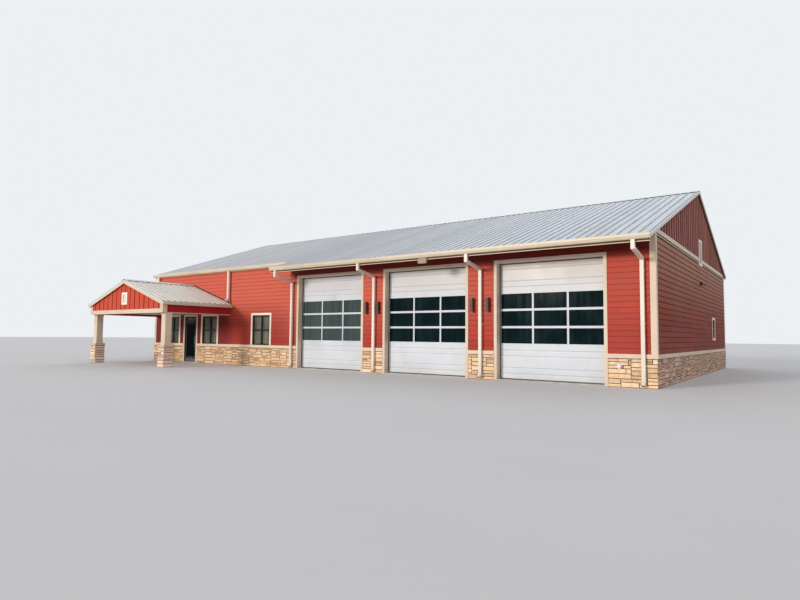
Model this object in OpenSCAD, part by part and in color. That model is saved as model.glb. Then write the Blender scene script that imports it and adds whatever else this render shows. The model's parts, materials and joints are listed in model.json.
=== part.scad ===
// Single-storey fire station: three-bay hall and offices under one gabled roof, with an entry portico.
// Millimetres. X runs along the front, Y from front to back, Z up from the ground.

/* [Building] */
// Length of the building over its end walls
house_l = 26310; // [25500:10:30000]
// Depth of the building over its front and back walls
house_d = 15970; // [14000:10:18000]
// Thickness of the outside walls
wall_t = 240; // [200:10:300]
// Thickness of the floor slab, whose underside is at ground level
slab_t = 30; // [20:5:60]
// Height of the stone base
base_h = 870; // [700:10:950]
// How far the stone stands out from the siding
stone_out = 20; // [10:1:35]
// Height of the trim band on top of the stone
cap_h = 130; // [80:5:160]
// How far the trim band stands out from the siding
cap_out = 45; // [36:1:60]
// Width of the corner boards
corner_w = 145; // [100:5:200]
// Width of the boards round doors and windows
trim_w = 100; // [60:5:120]
// How far corner boards and the boards round openings stand out from the siding
trim_out = 30; // [22:1:36]
// Height of the band across each gable
gable_band_h = 140; // [100:5:200]

/* [Roof] */
// Height of the roofing over the outer face of the front wall
eave_z = 4800; // [4700:10:5200]
// Slope of the roof, as rise over run
roof_slope = 0.346; // [0.25:0.001:0.4]
// Thickness of the roof deck, measured straight down
deck_v = 130; // [100:5:180]
// How far the roof runs past the end walls
rake_out = 120; // [80:5:200]
// How far the fascia stands out from the wall over the bays
bay_eave = 1065; // [800:5:1200]
// How far the fascia stands out from the wall over the offices and at the back
plain_eave = 75; // [60:5:120]
// How far the deep eave runs past the left edge of the first bay doorway
bay_eave_past = 680; // [400:10:1000]
// Thickness of fascia and rake boards
board_t = 20; // [15:1:25]
// Height of the fascia boards at the deep eave
bay_fascia_h = 200; // [180:5:230]
// Depth of the rake boards and of the roof past the end walls, measured straight down
rake_h = 90; // [70:5:120]
// Thickness of the sloping soffit under the deep eave
soffit_t = 20; // [12:1:30]
// Length of the light under the deep eave
eave_light_l = 340; // [250:10:400]
// Height of that light
eave_light_h = 200; // [150:5:250]
// How far that light sits to the right of the middle of the second bay
eave_light_off = 670; // [0:5:900]

/* [Ribbed roofing] */
// Thickness of the roofing between its ribs
sheet_t = 12; // [8:1:20]
// Distance between the ribs
rib_pitch = 305; // [200:5:400]
// Height of a rib
rib_h = 28; // [15:1:40]
// Width of a rib at its foot
rib_foot = 75; // [50:1:100]
// Width of a rib at its top
rib_top = 25; // [15:1:40]
// How far the roofing reaches past the fascia, over the gutter
sheet_drip = 30; // [15:1:50]
// Length of each leg of the ridge caps
ridge_leg = 230; // [180:5:300]
// Thickness of the ridge caps
ridge_t = 6; // [4:1:10]

/* [Gutters and downspouts] */
// Depth of a gutter from its back to its front
gutter_w = 125; // [100:5:150]
// Height of the back of a gutter
gutter_h = 110; // [90:5:140]
// How far the front of the main roof's gutters stands above their back
gutter_lip = 50; // [0:5:70]
// Height of the portico's gutters
portico_gutter_h = 140; // [110:5:160]
// Thickness of the gutter metal
gutter_t = 4; // [3:1:6]
// Width of a downspout along the wall
spout_w = 110; // [80:5:130]
// Depth of a downspout off the wall
spout_d = 90; // [70:5:110]
// Thickness of the downspout metal
spout_t = 4; // [3:1:6]
// Height at which a downspout leaves the deep eave for the wall
spout_turn_z = 4050; // [3900:10:4150]
// Fall of a downspout on its way to the wall
spout_fall = 190; // [100:10:300]
// Distance from the left end of the deep eave to its first downspout
spout_first = 320; // [200:10:400]
// How far each downspout between two bays sits to the right of the middle of the wall there
spout_off = [90, 10];
// Distance from the right end wall to the last downspout
spout_end = 350; // [250:10:500]
// Distance from the left end wall to the first downspout over the portico
office_spout_a = 380; // [150:10:400]
// Distance from the left end wall to the second downspout over the portico
office_spout_b = 6540; // [6200:10:6600]
// Straight length of those downspouts and the back ones below their gutter
spout_drop = 100; // [80:5:150]
// Height at which the foot of a downspout turns out
kick_z = 190; // [150:5:250]
// How far the foot of a downspout turns out
kick_out = 70; // [40:5:100]
// Height of the open end of a downspout
foot_z = 70; // [55:5:100]

/* [Bays] */
// Number of vehicle bays
bays = 3; // [3:1:3]
// Clear width of a bay doorway
bay_w = 3658; // [3400:1:3700]
// Clear height of a bay doorway
bay_h = 4046; // [3800:1:4150]
// Thickness of the boards that line a bay doorway
lining_t = 8; // [5:1:12]
// Width of the wall between two bay doorways
bay_pier = 1219; // [1100:1:1300]
// Width of the wall from the last bay doorway to the right corner
bay_end = 1498; // [1300:1:1600]
// Height of one section of a bay door
section_h = 597; // [590:1:620]
// Number of sections in a bay door
sections = 7; // [7:1:7]
// Thickness of a bay door
section_t = 45; // [40:1:60]
// How far a bay door laps the wall behind each jamb
section_lap = 50; // [30:1:80]
// Number of the lowest glazed section, counted from zero
glazed_from = 2; // [1:1:2]
// Number of glazed sections
glazed = 3; // [2:1:3]
// Number of panes across a glazed section
panes = 3; // [2:1:4]
// Width of the rails round the panes of a glazed section
sash_rail = 30; // [20:1:50]
// Width of the stiles at the ends of a glazed section, from the edge of the doorway
sash_stile = 45; // [20:1:80]
// Width of the bars between the panes
sash_bar = 50; // [30:1:70]
// Number of grooves across the face of a solid section
grooves = 2; // [1:1:8]
// Depth of the grooves
groove_d = 8; // [3:1:12]
// Width of the grooves at the face
groove_w = 36; // [20:1:50]
// Gap between two sections of a bay door
section_gap = 0.5; // [0.3:0.1:0.8]

/* [Windows and entry] */
// Width of an office window opening
win_w = 1220; // [1000:10:1300]
// Height of an office window opening
win_h = 1410; // [1200:10:1500]
// Distances from the left end wall to the middle of each office window
win_x = [1720, 4980, 8920];
// Width of the window frame members
win_frame = 45; // [35:1:60]
// Width of the post between the two halves of an office window
win_post = 70; // [50:1:90]
// Width of the meeting rail of a window
win_rail = 40; // [30:1:50]
// Depth of the window frames
win_depth = 90; // [70:1:110]
// How far window frames and the entry sit back from the siding
set_back = 20; // [10:1:40]
// Thickness of the glass
glass_t = 12; // [8:1:20]
// Width of the gable window opening
side_win_w = 700; // [600:10:800]
// Height of the gable window opening
side_win_h = 840; // [700:10:900]
// Height of the gable window's sill
side_win_z = 1520; // [1400:10:1600]
// Distance from the front wall to the middle of the gable window
side_win_y = 11900; // [11000:10:12500]
// Distance from the left end wall to the middle of the entry
entry_x = 3350; // [3300:10:3400]
// Width of the entry opening
entry_w = 1010; // [960:5:1060]
// Height of the entry opening
entry_h = 2410; // [2350:5:2450]
// Width of the entry frame members
entry_frame_w = 45; // [35:1:55]
// Height of the underside of the bar over the entry door
transom_z = 2150; // [2100:5:2180]
// Height of that bar
transom_h = 60; // [45:1:80]
// Running gap round the entry door
door_gap = 5; // [5:0.5:8]
// Thickness of the entry door
door_t = 45; // [40:1:50]
// Width of the entry door's stiles and top rail
door_stile = 95; // [80:1:120]
// Height of the entry door's bottom rail
door_kick = 250; // [200:5:300]
// Height of the threshold above the floor slab
threshold_h = 15; // [10:1:20]
// Radius of the hinge knuckles
hinge_r = 6; // [5:0.5:6]
// Distance from the door's top and bottom to the middle of its outer hinges
hinge_in = 200; // [150:10:300]
// Radius of the pull handle
pull_r = 12; // [10:1:16]
// Length of the pull handle
pull_len = 600; // [400:10:800]
// Height of the middle of the pull handle above the foot of the door
pull_mid = 1050; // [950:10:1100]
// How far the pull handle stands off the door
pull_off = 60; // [50:5:80]

/* [Vents and fittings] */
// Width of a gable vent
vent_w = 740; // [600:10:1000]
// Height of a gable vent
vent_h = 1080; // [900:10:1200]
// Height of the foot of a gable vent
vent_z = 4500; // [4300:10:4500]
// How far the gable vent sits behind the middle of the gable
vent_off = 380; // [0:10:500]
// Width of the portico vent
small_vent_w = 470; // [400:10:550]
// Height of the portico vent
small_vent_h = 580; // [500:10:600]
// Height of the foot of the portico vent
small_vent_z = 2860; // [2800:10:2900]
// Width of the vent frames
vent_frame = 90; // [60:5:100]
// How far the vents stand out from the face behind them
vent_out = 50; // [40:1:70]
// Distance between the vent slats
slat_pitch = 90; // [70:5:120]
// Thickness of a vent slat
slat_t = 8; // [5:1:12]
// Radius of the wall lights
lamp_r = 60; // [45:1:70]
// Length of the wall lights
lamp_h = 500; // [400:10:600]
// Height of the foot of the wall lights
lamp_z = 2360; // [2200:10:2500]
// Distance from the middle of a pier to a wall light
lamp_off = 308; // [250:1:400]
// How far a wall light's tube stands off the wall
lamp_gap = 40; // [30:1:80]
// Radius of the floodlight's round base
flood_r = 60; // [50:1:80]
// Radius of the floodlight's two heads
flood_head_r = 60; // [45:1:70]
// Length of those heads
flood_head_l = 110; // [80:1:130]
// Height of the floodlight
flood_z = 3740; // [3500:10:4000]
// Radius of the hose connection's flange
hose_r = 75; // [60:1:90]
// Height of the hose connection
hose_z = 620; // [500:10:700]
// Distance from the right end wall to the hose connection
hose_end = 1050; // [900:10:1200]

/* [Portico] */
// Distance from the left end wall to the middle of the portico
portico_x = 3390; // [3350:10:3450]
// Width of the portico over its gutters
portico_w = 6800; // [6600:10:7000]
// How far the portico's roof reaches from the front wall
portico_d = 3750; // [3400:10:4000]
// Height of the portico's roofing at its ridge
portico_ridge_z = 4060; // [4000:10:4200]
// Slope of the portico roof, as rise over run
portico_slope = 0.333; // [0.3:0.001:0.34]
// Thickness of the portico's deck, measured straight down
portico_deck_v = 90; // [70:5:110]
// Width of the portico's gable panel
gable_w = 6460; // [6300:10:6490]
// Thickness of the portico's gable panel
gable_t = 150; // [100:5:200]
// How far the portico's roof reaches past its gable panel
portico_rake = 100; // [60:5:150]
// Depth of the portico's rake board, measured straight down
portico_rake_h = 170; // [150:5:220]
// Height of the underside of the portico's beams
beam_z = 2430; // [2380:5:2480]
// Width of the portico's beams
beam_w = 310; // [250:5:350]
// How far the portico's ceiling sits above the underside of its beams
ceiling_up = 110; // [100:5:150]
// Thickness of the portico's ceiling
ceiling_t = 20; // [12:1:30]
// Height of the trim board along the foot of the portico gable
foot_board_h = 190; // [150:5:220]
// Width of the portico's corner boards
portico_corner_w = 190; // [120:5:220]
// Distance between the middles of the posts
post_pitch = 6100; // [5900:10:6150]
// Width of a post
post_w = 310; // [250:5:350]
// Distance from the front of the roof to the face of the posts
post_back = 255; // [180:5:280]
// Width of a post's stone base
pier_w = 460; // [400:5:500]
// Height of a post's stone base
pier_h = 870; // [700:10:950]
// Height of the cap on a post's stone base
pier_cap_h = 100; // [60:5:120]
// How far that cap stands out from the stone
pier_cap_out = 20; // [10:1:30]

/* [Hidden] */
$fn = 32;

left = -house_l / 2;
right = house_l / 2;
roof_end = right + rake_out;
slope = roof_slope;
slope_deg = atan(slope);
sheet_v = sheet_t / cos(slope_deg);
y_mid = house_d / 2;
y_last = house_d + plain_eave + gutter_w;
y_shift = -(y_last - portico_d) / 2;
cap_z = base_h + cap_h;
lay_gap = 0.2;
eps = 1;
cream = [0.93, 0.87, 0.76];
brick_red = [0.70, 0.22, 0.18];
stone_tan = [0.78, 0.66, 0.50];
galvanised = [0.74, 0.77, 0.80];
near_black = [0.08, 0.08, 0.09];

// Heights of the roofing and of the underside of the deck at a distance y behind the front wall
function roof_z(y) = eave_z + slope * (y <= y_mid ? y : house_d - y);
function under_z(y) = roof_z(y) - sheet_v - deck_v - lay_gap;
band_z = under_z(0) - lay_gap;

// Edges of the bay doorways, counted from the left
function bay_x(i) = right - bay_end - (bays - i) * bay_w - (bays - 1 - i) * bay_pier;
function pier_mid(i) = bay_x(i) + bay_w + bay_pier / 2;
bays_x0 = bay_x(0) - bay_eave_past;

entry_l = left + entry_x - entry_w / 2;
entry_r = entry_l + entry_w;
win_mid = [for (x = win_x) left + x];

portico_mid = left + portico_x;
p_slope = portico_slope;
p_deg = atan(p_slope);
p_sheet_v = sheet_t / cos(p_deg);
p_edge = portico_w / 2 - gutter_w;
p_face = portico_d - portico_rake;
function p_roof_z(dx) = portico_ridge_z - p_slope * abs(dx);
function p_under_z(dx) = p_roof_z(dx) - p_sheet_v - portico_deck_v - lay_gap;

// A box between low and high limits on each axis
module block(x, y, z) {
    translate([x[0], y[0], z[0]]) cube([x[1] - x[0], y[1] - y[0], z[1] - z[0]]);
}

// An outline drawn in Y and Z, run along X
module along_x(x0, x1) {
    translate([x0, 0, 0]) rotate([90, 0, 90]) linear_extrude(x1 - x0) children();
}

// An outline drawn in X and Z, run along Y
module along_y(y0, y1) {
    translate([0, y1, 0]) rotate([90, 0, 0]) linear_extrude(y1 - y0) children();
}

// The same shape at both ends of the building
module both_ends() {
    children();
    mirror([1, 0, 0]) children();
}

// Walls and base

// A front or back wall's section, with its top cut to the underside of the deck
module wall_outline(z0) {
    polygon([[0, z0], [wall_t, z0], [wall_t, under_z(wall_t)], [0, under_z(0)]]);
}

module front_run(x0, x1, z0) {
    along_x(x0, x1) wall_outline(z0);
}

module window_hole(x) {
    block([x - win_w / 2, x + win_w / 2], [-eps, wall_t + eps], [cap_z, cap_z + win_h]);
}

module floor_slab() color([0.70, 0.69, 0.66]) {
    block([left + wall_t, right - wall_t], [wall_t, house_d - wall_t], [0, slab_t]);
    for (i = [0 : bays - 1])
        block([bay_x(i), bay_x(i) + bay_w], [0, wall_t], [0, slab_t]);
    block([entry_l, entry_r], [0, wall_t], [0, slab_t]);
}

module front_wall_left() color(brick_red) difference() {
    front_run(left, entry_l, base_h);
    window_hole(win_mid[0]);
}

module front_wall_middle() color(brick_red) difference() {
    front_run(entry_r, bay_x(0), base_h);
    window_hole(win_mid[1]);
    window_hole(win_mid[2]);
}

module front_wall_over_entry() color(brick_red) front_run(entry_l, entry_r, entry_h);

module bay_piers() color(brick_red) {
    for (i = [0 : bays - 2])
        block([bay_x(i) + bay_w, bay_x(i + 1)], [0, wall_t], [base_h, bay_h]);
    block([right - bay_end, right], [0, wall_t], [base_h, bay_h]);
}

module bay_header() color(brick_red) front_run(bay_x(0), right, bay_h);

module gable_outline() {
    y1 = house_d - wall_t;
    polygon([[wall_t, base_h], [y1, base_h], [y1, under_z(y1)], [y_mid, under_z(y_mid)],
        [wall_t, under_z(wall_t)]]);
}

module side_hole() {
    block([right - wall_t - eps, right + eps],
        [side_win_y - side_win_w / 2, side_win_y + side_win_w / 2],
        [side_win_z, side_win_z + side_win_h]);
}

module vent_hole() {
    y = y_mid + vent_off;
    half = vent_w / 2 - vent_frame;
    block([right - wall_t - eps, right + eps], [y - half, y + half],
        [vent_z + vent_frame, vent_z + vent_h - vent_frame]);
}

module gable_wall() color(brick_red) difference() {
    along_x(right - wall_t, right) gable_outline();
    side_hole();
    vent_hole();
}

module right_gable_wall() gable_wall();

module left_gable_wall() mirror([1, 0, 0]) gable_wall();

module back_wall() color(brick_red) difference() {
    translate([0, house_d, 0]) mirror([0, 1, 0]) front_run(left, right, base_h);
    for (x = win_mid) translate([0, house_d - wall_t, 0]) window_hole(x);
}

// A length of stone base: the wall behind it from x0 to x1 and its face from f0 to f1
module stone_run(x0, x1, f0, f1) {
    block([x0, x1], [0, wall_t], [0, base_h]);
    block([f0, f1], [-stone_out, 0], [0, base_h]);
}

module stone_base_office() color(stone_tan) {
    stone_run(left, entry_l, left - stone_out, entry_l - trim_w);
    stone_run(entry_r, bay_x(0), entry_r + trim_w, bay_x(0) - trim_w);
}

module stone_base_bays() color(stone_tan) {
    for (i = [0 : bays - 2])
        stone_run(bay_x(i) + bay_w, bay_x(i + 1), bay_x(i) + bay_w + trim_w, bay_x(i + 1) - trim_w);
    stone_run(right - bay_end, right, right - bay_end + trim_w, right + stone_out);
}

module stone_base_rear() color(stone_tan) difference() {
    block([left - stone_out, right + stone_out], [0, house_d + stone_out], [0, base_h]);
    block([left + wall_t, right - wall_t], [wall_t, house_d - wall_t], [-eps, base_h + eps]);
    block([left, right], [-eps, wall_t], [-eps, base_h + eps]);
}

module cap_run(x0, x1) block([x0, x1], [-cap_out, 0], [base_h, cap_z]);

module stone_cap() color(cream) {
    cap_run(left - cap_out, entry_l - trim_w);
    cap_run(entry_r + trim_w, bay_x(0) - trim_w);
    for (i = [0 : bays - 2])
        cap_run(bay_x(i) + bay_w + trim_w, bay_x(i + 1) - trim_w);
    cap_run(right - bay_end + trim_w, right + cap_out);
    difference() {
        block([left - cap_out, right + cap_out], [0, house_d + cap_out], [base_h, cap_z]);
        block([left, right], [-eps, house_d], [base_h - eps, cap_z + eps]);
    }
}

// Trim

module corner_board(top_front, top_side) {
    block([right - corner_w, right + trim_out], [-trim_out, 0], [cap_z, top_front]);
    block([right, right + trim_out], [0, corner_w], [cap_z, top_side]);
}

module corner_boards() color(cream) {
    plain_top = under_z(0) - trim_out * slope;
    corner_board(plain_top - soffit_t, band_z);
    difference() {
        mirror([1, 0, 0]) corner_board(plain_top, band_z);
        block([left - trim_out - eps, left + corner_w + eps], [-trim_out - eps, 0],
            [beam_z, p_roof_z(p_edge) + 2 * rib_h]);
    }
    translate([0, house_d, 0]) mirror([0, 1, 0]) both_ends() corner_board(plain_top, band_z);
}

module gable_bands() color(cream) both_ends() difference() {
    z0 = band_z;
    y0 = gable_band_h / slope;
    along_x(right, right + trim_out)
        polygon([[0, z0], [house_d, z0], [house_d - y0, z0 + gable_band_h], [y0, z0 + gable_band_h]]);
    block([right - eps, right + trim_out + eps],
        [y_mid + vent_off - vent_w / 2, y_mid + vent_off + vent_w / 2], [vent_z, vent_z + vent_h]);
}

// Boards round an opening w by h, with or without a board under it
module opening_trim(w, h, sill) {
    difference() {
        translate([-w / 2 - trim_w, sill ? -trim_w : 0])
            square([w + 2 * trim_w, h + (sill ? 2 : 1) * trim_w]);
        translate([-w / 2, sill ? 0 : -eps]) square([w, h + (sill ? 0 : eps)]);
    }
}

// The boards that line a doorway w by h through the wall, down to the floor slab
module doorway_lining(w, h) difference() {
    along_y(-trim_out, wall_t) translate([-w / 2, 0]) square([w, h]);
    along_y(-trim_out - eps, wall_t + eps) translate([lining_t - w / 2, -eps])
        square([w - 2 * lining_t, h - lining_t + eps]);
    block([-w / 2 - eps, w / 2 + eps], [0, wall_t + eps], [-eps, slab_t]);
}

module door_trim() color(cream) {
    for (i = [0 : bays - 1]) translate([bay_x(i) + bay_w / 2, 0, 0]) {
        along_y(-trim_out, 0) opening_trim(bay_w, bay_h, false);
        doorway_lining(bay_w, bay_h);
    }
    translate([left + entry_x, 0, 0]) along_y(-trim_out, 0) opening_trim(entry_w, entry_h, false);
}

module on_right_wall() {
    translate([right, side_win_y, side_win_z]) rotate([0, 0, 90]) children();
}

module window_trim() color(cream) {
    for (x = win_mid) {
        translate([x, 0, cap_z]) along_y(-trim_out, 0) opening_trim(win_w, win_h, false);
        translate([x, house_d, cap_z]) along_y(0, trim_out) opening_trim(win_w, win_h, false);
    }
    both_ends() on_right_wall() along_y(-trim_out, 0) opening_trim(side_win_w, side_win_h, true);
}

// Windows

// The panes of a frame w by h, in the given numbers of columns and rows
module pane_grid(w, h, cols, rows, edge, post, rail) {
    pane_w = (w - 2 * edge - (cols - 1) * post) / cols;
    pane_h = (h - 2 * edge - (rows - 1) * rail) / rows;
    for (c = [0 : cols - 1], r = [0 : rows - 1])
        translate([-w / 2 + edge + c * (pane_w + post), edge + r * (pane_h + rail)])
            square([pane_w, pane_h]);
}

module office_panes() pane_grid(win_w, win_h, 2, 2, win_frame, win_post, win_rail);

module side_panes() pane_grid(side_win_w, side_win_h, 1, 2, win_frame, win_post, win_rail);

// Every office window, front and back, drawn from its outline between two depths in the wall
module office_windows(y0, y1) {
    for (x = win_mid) {
        translate([x, 0, cap_z]) along_y(y0, y1) children();
        translate([x, house_d, cap_z]) mirror([0, 1, 0]) along_y(y0, y1) children();
    }
}

module side_windows(y0, y1) {
    both_ends() on_right_wall() along_y(y0, y1) children();
}

module window_frames() color(near_black) {
    office_windows(set_back, set_back + win_depth) difference() {
        translate([-win_w / 2, 0]) square([win_w, win_h]);
        office_panes();
    }
    side_windows(set_back, set_back + win_depth) difference() {
        translate([-side_win_w / 2, 0]) square([side_win_w, side_win_h]);
        side_panes();
    }
}

glass_y = set_back + win_depth / 2 - glass_t / 2;

module window_glass() color([0.25, 0.30, 0.33]) {
    office_windows(glass_y, glass_y + glass_t) office_panes();
    side_windows(glass_y, glass_y + glass_t) side_panes();
    translate([left + entry_x, 0, 0]) along_y(glass_y, glass_y + glass_t) transom_pane();
}

// Entry

leaf_z = slab_t + threshold_h + door_gap;
leaf_h = transom_z - door_gap - leaf_z;
leaf_w = entry_w - 2 * entry_frame_w - 2 * door_gap;
leaf_x = entry_l + entry_frame_w + door_gap;
hinge_x = leaf_x - door_gap / 2;
hinge_y = set_back - hinge_r;
knuckle_h = 35;
knuckle_gap = 0.5;
hinge_plate = 28;
hinge_plate_t = 2.5;
hinges = [leaf_z + hinge_in, leaf_z + leaf_h / 2, leaf_z + leaf_h - hinge_in];

module transom_pane() {
    translate([-entry_w / 2 + entry_frame_w, transom_z + transom_h])
        square([entry_w - 2 * entry_frame_w, entry_h - entry_frame_w - transom_z - transom_h]);
}

// One knuckle with its plate, which lies on the frame for side -1 and on the door for side 1
module knuckle(z, side) {
    translate([hinge_x, hinge_y, z]) cylinder(r = hinge_r, h = knuckle_h);
    plate_x = leaf_x - hinge_x;
    block([side < 0 ? hinge_x - hinge_plate : hinge_x + plate_x,
        side < 0 ? hinge_x - plate_x : hinge_x + hinge_plate],
        [set_back - hinge_plate_t, set_back], [z, z + knuckle_h]);
}

module entry_frame() color(near_black) {
    translate([left + entry_x, 0, 0]) along_y(set_back, set_back + win_depth) difference() {
        translate([-entry_w / 2, slab_t]) square([entry_w, entry_h - slab_t]);
        translate([-entry_w / 2 + entry_frame_w, slab_t + threshold_h])
            square([entry_w - 2 * entry_frame_w, transom_z - slab_t - threshold_h]);
        transom_pane();
    }
    for (z = hinges, side = [-1, 1])
        knuckle(z + side * (knuckle_h + knuckle_gap) - knuckle_h / 2, -1);
}

module entry_door() color(near_black) {
    along_y(set_back, set_back + door_t) difference() {
        translate([leaf_x, leaf_z]) square([leaf_w, leaf_h]);
        door_pane();
    }
    for (z = hinges) knuckle(z - knuckle_h / 2, 1);
}

module door_pane() {
    translate([leaf_x + door_stile, leaf_z + door_kick])
        square([leaf_w - 2 * door_stile, leaf_h - door_kick - door_stile]);
}

module entry_door_glass() color([0.15, 0.18, 0.20]) {
    y = set_back + door_t / 2;
    along_y(y - glass_t / 2, y + glass_t / 2) door_pane();
}

pull_z = leaf_z + pull_mid;
pull_arm_r = 8;

module entry_handle() color([0.70, 0.70, 0.72]) {
    x = leaf_x + leaf_w - door_stile / 2;
    translate([x, set_back - pull_off, pull_z - pull_len / 2]) cylinder(r = pull_r, h = pull_len);
    for (side = [-1, 1])
        translate([x, set_back, pull_z + side * pull_len / 3]) rotate([90, 0, 0])
            cylinder(r = pull_arm_r, h = pull_off);
}

// Bay doors

section_step = section_h + section_gap;
tongue = 10;

// One section seen from its end: its face at y = 0, a stepped joint at top and bottom
module section_outline(face) {
    mid = section_t / 2;
    polygon(concat([[0, 0]], face, [[0, section_h], [mid, section_h],
        [mid + section_gap, section_h + tongue], [section_t, section_h + tongue],
        [section_t, tongue], [mid, tongue], [mid, 0]]));
}

// The grooved face of a solid section, from the bottom to the top
grooved_face = [for (i = [1 : grooves], p = [[0, -0.5], [1, -0.15], [1, 0.15], [0, 0.5]])
    [p[0] * groove_d, i * section_h / (grooves + 1) + p[1] * groove_w]];

module section_panes() {
    w = bay_w - 2 * (sash_stile - sash_rail);
    pane_grid(w, section_h, panes, 1, sash_rail, sash_bar, sash_rail);
}

module bay_door(i) color([0.90, 0.91, 0.91]) {
    x0 = bay_x(i) - section_lap;
    x1 = bay_x(i) + bay_w + section_lap;
    for (s = [0 : sections - 1]) translate([0, wall_t, slab_t + s * section_step]) {
        if (s < glazed_from || s >= glazed_from + glazed) {
            along_x(x0, x1) section_outline(grooved_face);
        } else difference() {
            along_x(x0, x1) section_outline([]);
            translate([bay_x(i) + bay_w / 2, 0, 0])
                along_y(-eps, section_t + eps) section_panes();
        }
    }
}

module bay_door_left() bay_door(0);

module bay_door_middle() bay_door(1);

module bay_door_right() bay_door(2);

module bay_door_glass() color([0.12, 0.15, 0.17]) {
    y = wall_t + section_t / 2;
    for (i = [0 : bays - 1], s = [glazed_from : glazed_from + glazed - 1])
        translate([bay_x(i) + bay_w / 2, 0, slab_t + s * section_step])
            along_y(y - glass_t, y) section_panes();
}

// Roof

deck_end = roof_end - board_t;

// An outline h deep that follows the underside of the roofing from y0 over the ridge to y1
module roof_layer(y0, y1, h) {
    points = [for (y = [y0, y_mid, y1]) [y, roof_z(y) - sheet_v - lay_gap]];
    polygon(concat(points, [for (i = [2 : -1 : 0]) points[i] - [0, h]]));
}

// The same on the deep eave only, on the front slope from y0 to y1
module eave_layer(y0, y1, h) {
    points = [for (y = [y0, y1]) [y, roof_z(y) - sheet_v - lay_gap]];
    polygon(concat(points, [points[1] - [0, h], points[0] - [0, h]]));
}

module roof_deck() color([0.55, 0.50, 0.45]) {
    y0 = -plain_eave + board_t;
    y1 = house_d - y0;
    y2 = -bay_eave + board_t;
    along_x(left, right) roof_layer(y0, y1, deck_v);
    along_x(-deck_end, left) roof_layer(y0, y1, rake_h);
    along_x(bays_x0 + board_t, right) eave_layer(y2, y0, deck_v);
    along_x(right, deck_end) roof_layer(y2, y1, rake_h);
}

module bay_soffit() color([0.45, 0.12, 0.10]) {
    y0 = -bay_eave + board_t;
    along_x(bays_x0 + board_t, right)
        polygon([[y0, under_z(y0)], [0, under_z(0)], [0, under_z(0) - soffit_t],
            [y0, under_z(y0) - soffit_t]]);
}

// The height of the fascia's top where its face is y behind the front wall
function fascia_z(y) = roof_z(y) - sheet_v - lay_gap;

module fascia(x0, x1, out, h) {
    z = fascia_z(-out);
    block([x0, x1], [-out, -out + board_t], [z - h, z]);
}

plain_fascia_h = deck_v + plain_eave * slope;

module eave_fascia() color(cream) {
    fascia(bays_x0, deck_end, bay_eave, bay_fascia_h);
    fascia(-deck_end, bays_x0, plain_eave, plain_fascia_h);
    translate([0, house_d, 0]) mirror([0, 1, 0])
        fascia(-deck_end, deck_end, plain_eave, plain_fascia_h);
}

module rake_trim() color(galvanised) {
    y1 = house_d + plain_eave;
    along_x(deck_end, roof_end) roof_layer(-bay_eave, y1, rake_h);
    along_x(-roof_end, -deck_end) roof_layer(-plain_eave, y1, rake_h);
    along_x(bays_x0, bays_x0 + board_t)
        eave_layer(-bay_eave + board_t, -plain_eave, deck_v + 2 * soffit_t);
}

// Ribbed roofing l long across the ribs: a flat sheet with a row of ribs on its top
module ribbed_outline(l) {
    count = floor((l - rib_foot) / rib_pitch);
    first = (l - count * rib_pitch) / 2;
    ribs = [for (i = [0 : count], p = [[-1, 0], [-1, 1], [1, 1], [1, 0]])
        [first + i * rib_pitch + p[0] * (p[1] ? rib_top : rib_foot) / 2, p[1] * rib_h]];
    polygon(concat([[0, -sheet_t], [0, 0]], ribs, [[l, 0], [l, -sheet_t]]));
}

// Roofing on the front slope from x0 to x1, from the eave at y0 up to the ridge
module slope_panels(x0, x1, y0) {
    run = y_mid - y0 - ridge_stop;
    translate([x0, y0, roof_z(y0)]) rotate([slope_deg, 0, 0])
        along_y(0, run / cos(slope_deg)) ribbed_outline(x1 - x0);
}

ridge_stop = 40;

module roof_panels_bays() color(galvanised)
    slope_panels(bays_x0, roof_end, -bay_eave - sheet_drip);

module roof_panels_office() color(galvanised)
    slope_panels(-roof_end, bays_x0 - lay_gap, -plain_eave - sheet_drip);

module roof_panels_back() color(galvanised)
    translate([0, house_d, 0]) mirror([0, 1, 0])
        slope_panels(-roof_end, roof_end, -plain_eave - sheet_drip);

// A ridge cap seen from its end, its point over x = 0, on ribs of a roof with the given rise
module cap_outline(rise) {
    lift = rib_h / cos(atan(rise)) + lay_gap;
    t = ridge_t / cos(atan(rise));
    polygon([[-ridge_leg, lift - ridge_leg * rise], [0, lift], [ridge_leg, lift - ridge_leg * rise],
        [ridge_leg, lift + t - ridge_leg * rise], [0, lift + t],
        [-ridge_leg, lift + t - ridge_leg * rise]]);
}

module ridge_caps() color(galvanised) {
    translate([0, y_mid, roof_z(y_mid)]) along_x(-roof_end, roof_end) cap_outline(slope);
    translate([portico_mid, 0, portico_ridge_z]) along_y(-portico_d, 0) cap_outline(p_slope);
}

// Gutters and downspouts

// The curved front of a gutter from its foot to its rim, as shares of its depth and height
ogee = [[0.62, 0], [0.78, 0.14], [0.88, 0.34], [0.90, 0.46], [1, 0.56], [1, 1]];

// Share of a gutter's depth over which its top lies level with its back
level_part = 0.4;

// A gutter seen from its end: its back at y = 0, its foot at z = 0, its front towards -y
module gutter_outline(w, h, lip) {
    polygon(concat([[0, 0]], [for (p = ogee) [-p[0] * w, p[1] * (h + lip)]],
        [[-level_part * w, h], [0, h]]));
}

module gutter(x0, x1, h, lip) {
    difference() {
        along_x(x0, x1) gutter_outline(gutter_w, h, lip);
        translate([0, -gutter_t, gutter_t]) along_x(x0 + gutter_t, x1 - gutter_t)
            gutter_outline(gutter_w - 2 * gutter_t, h, lip);
    }
}

gutter_drop = 20;
function gutter_z(out) = fascia_z(-out) - gutter_drop - gutter_h;

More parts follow.
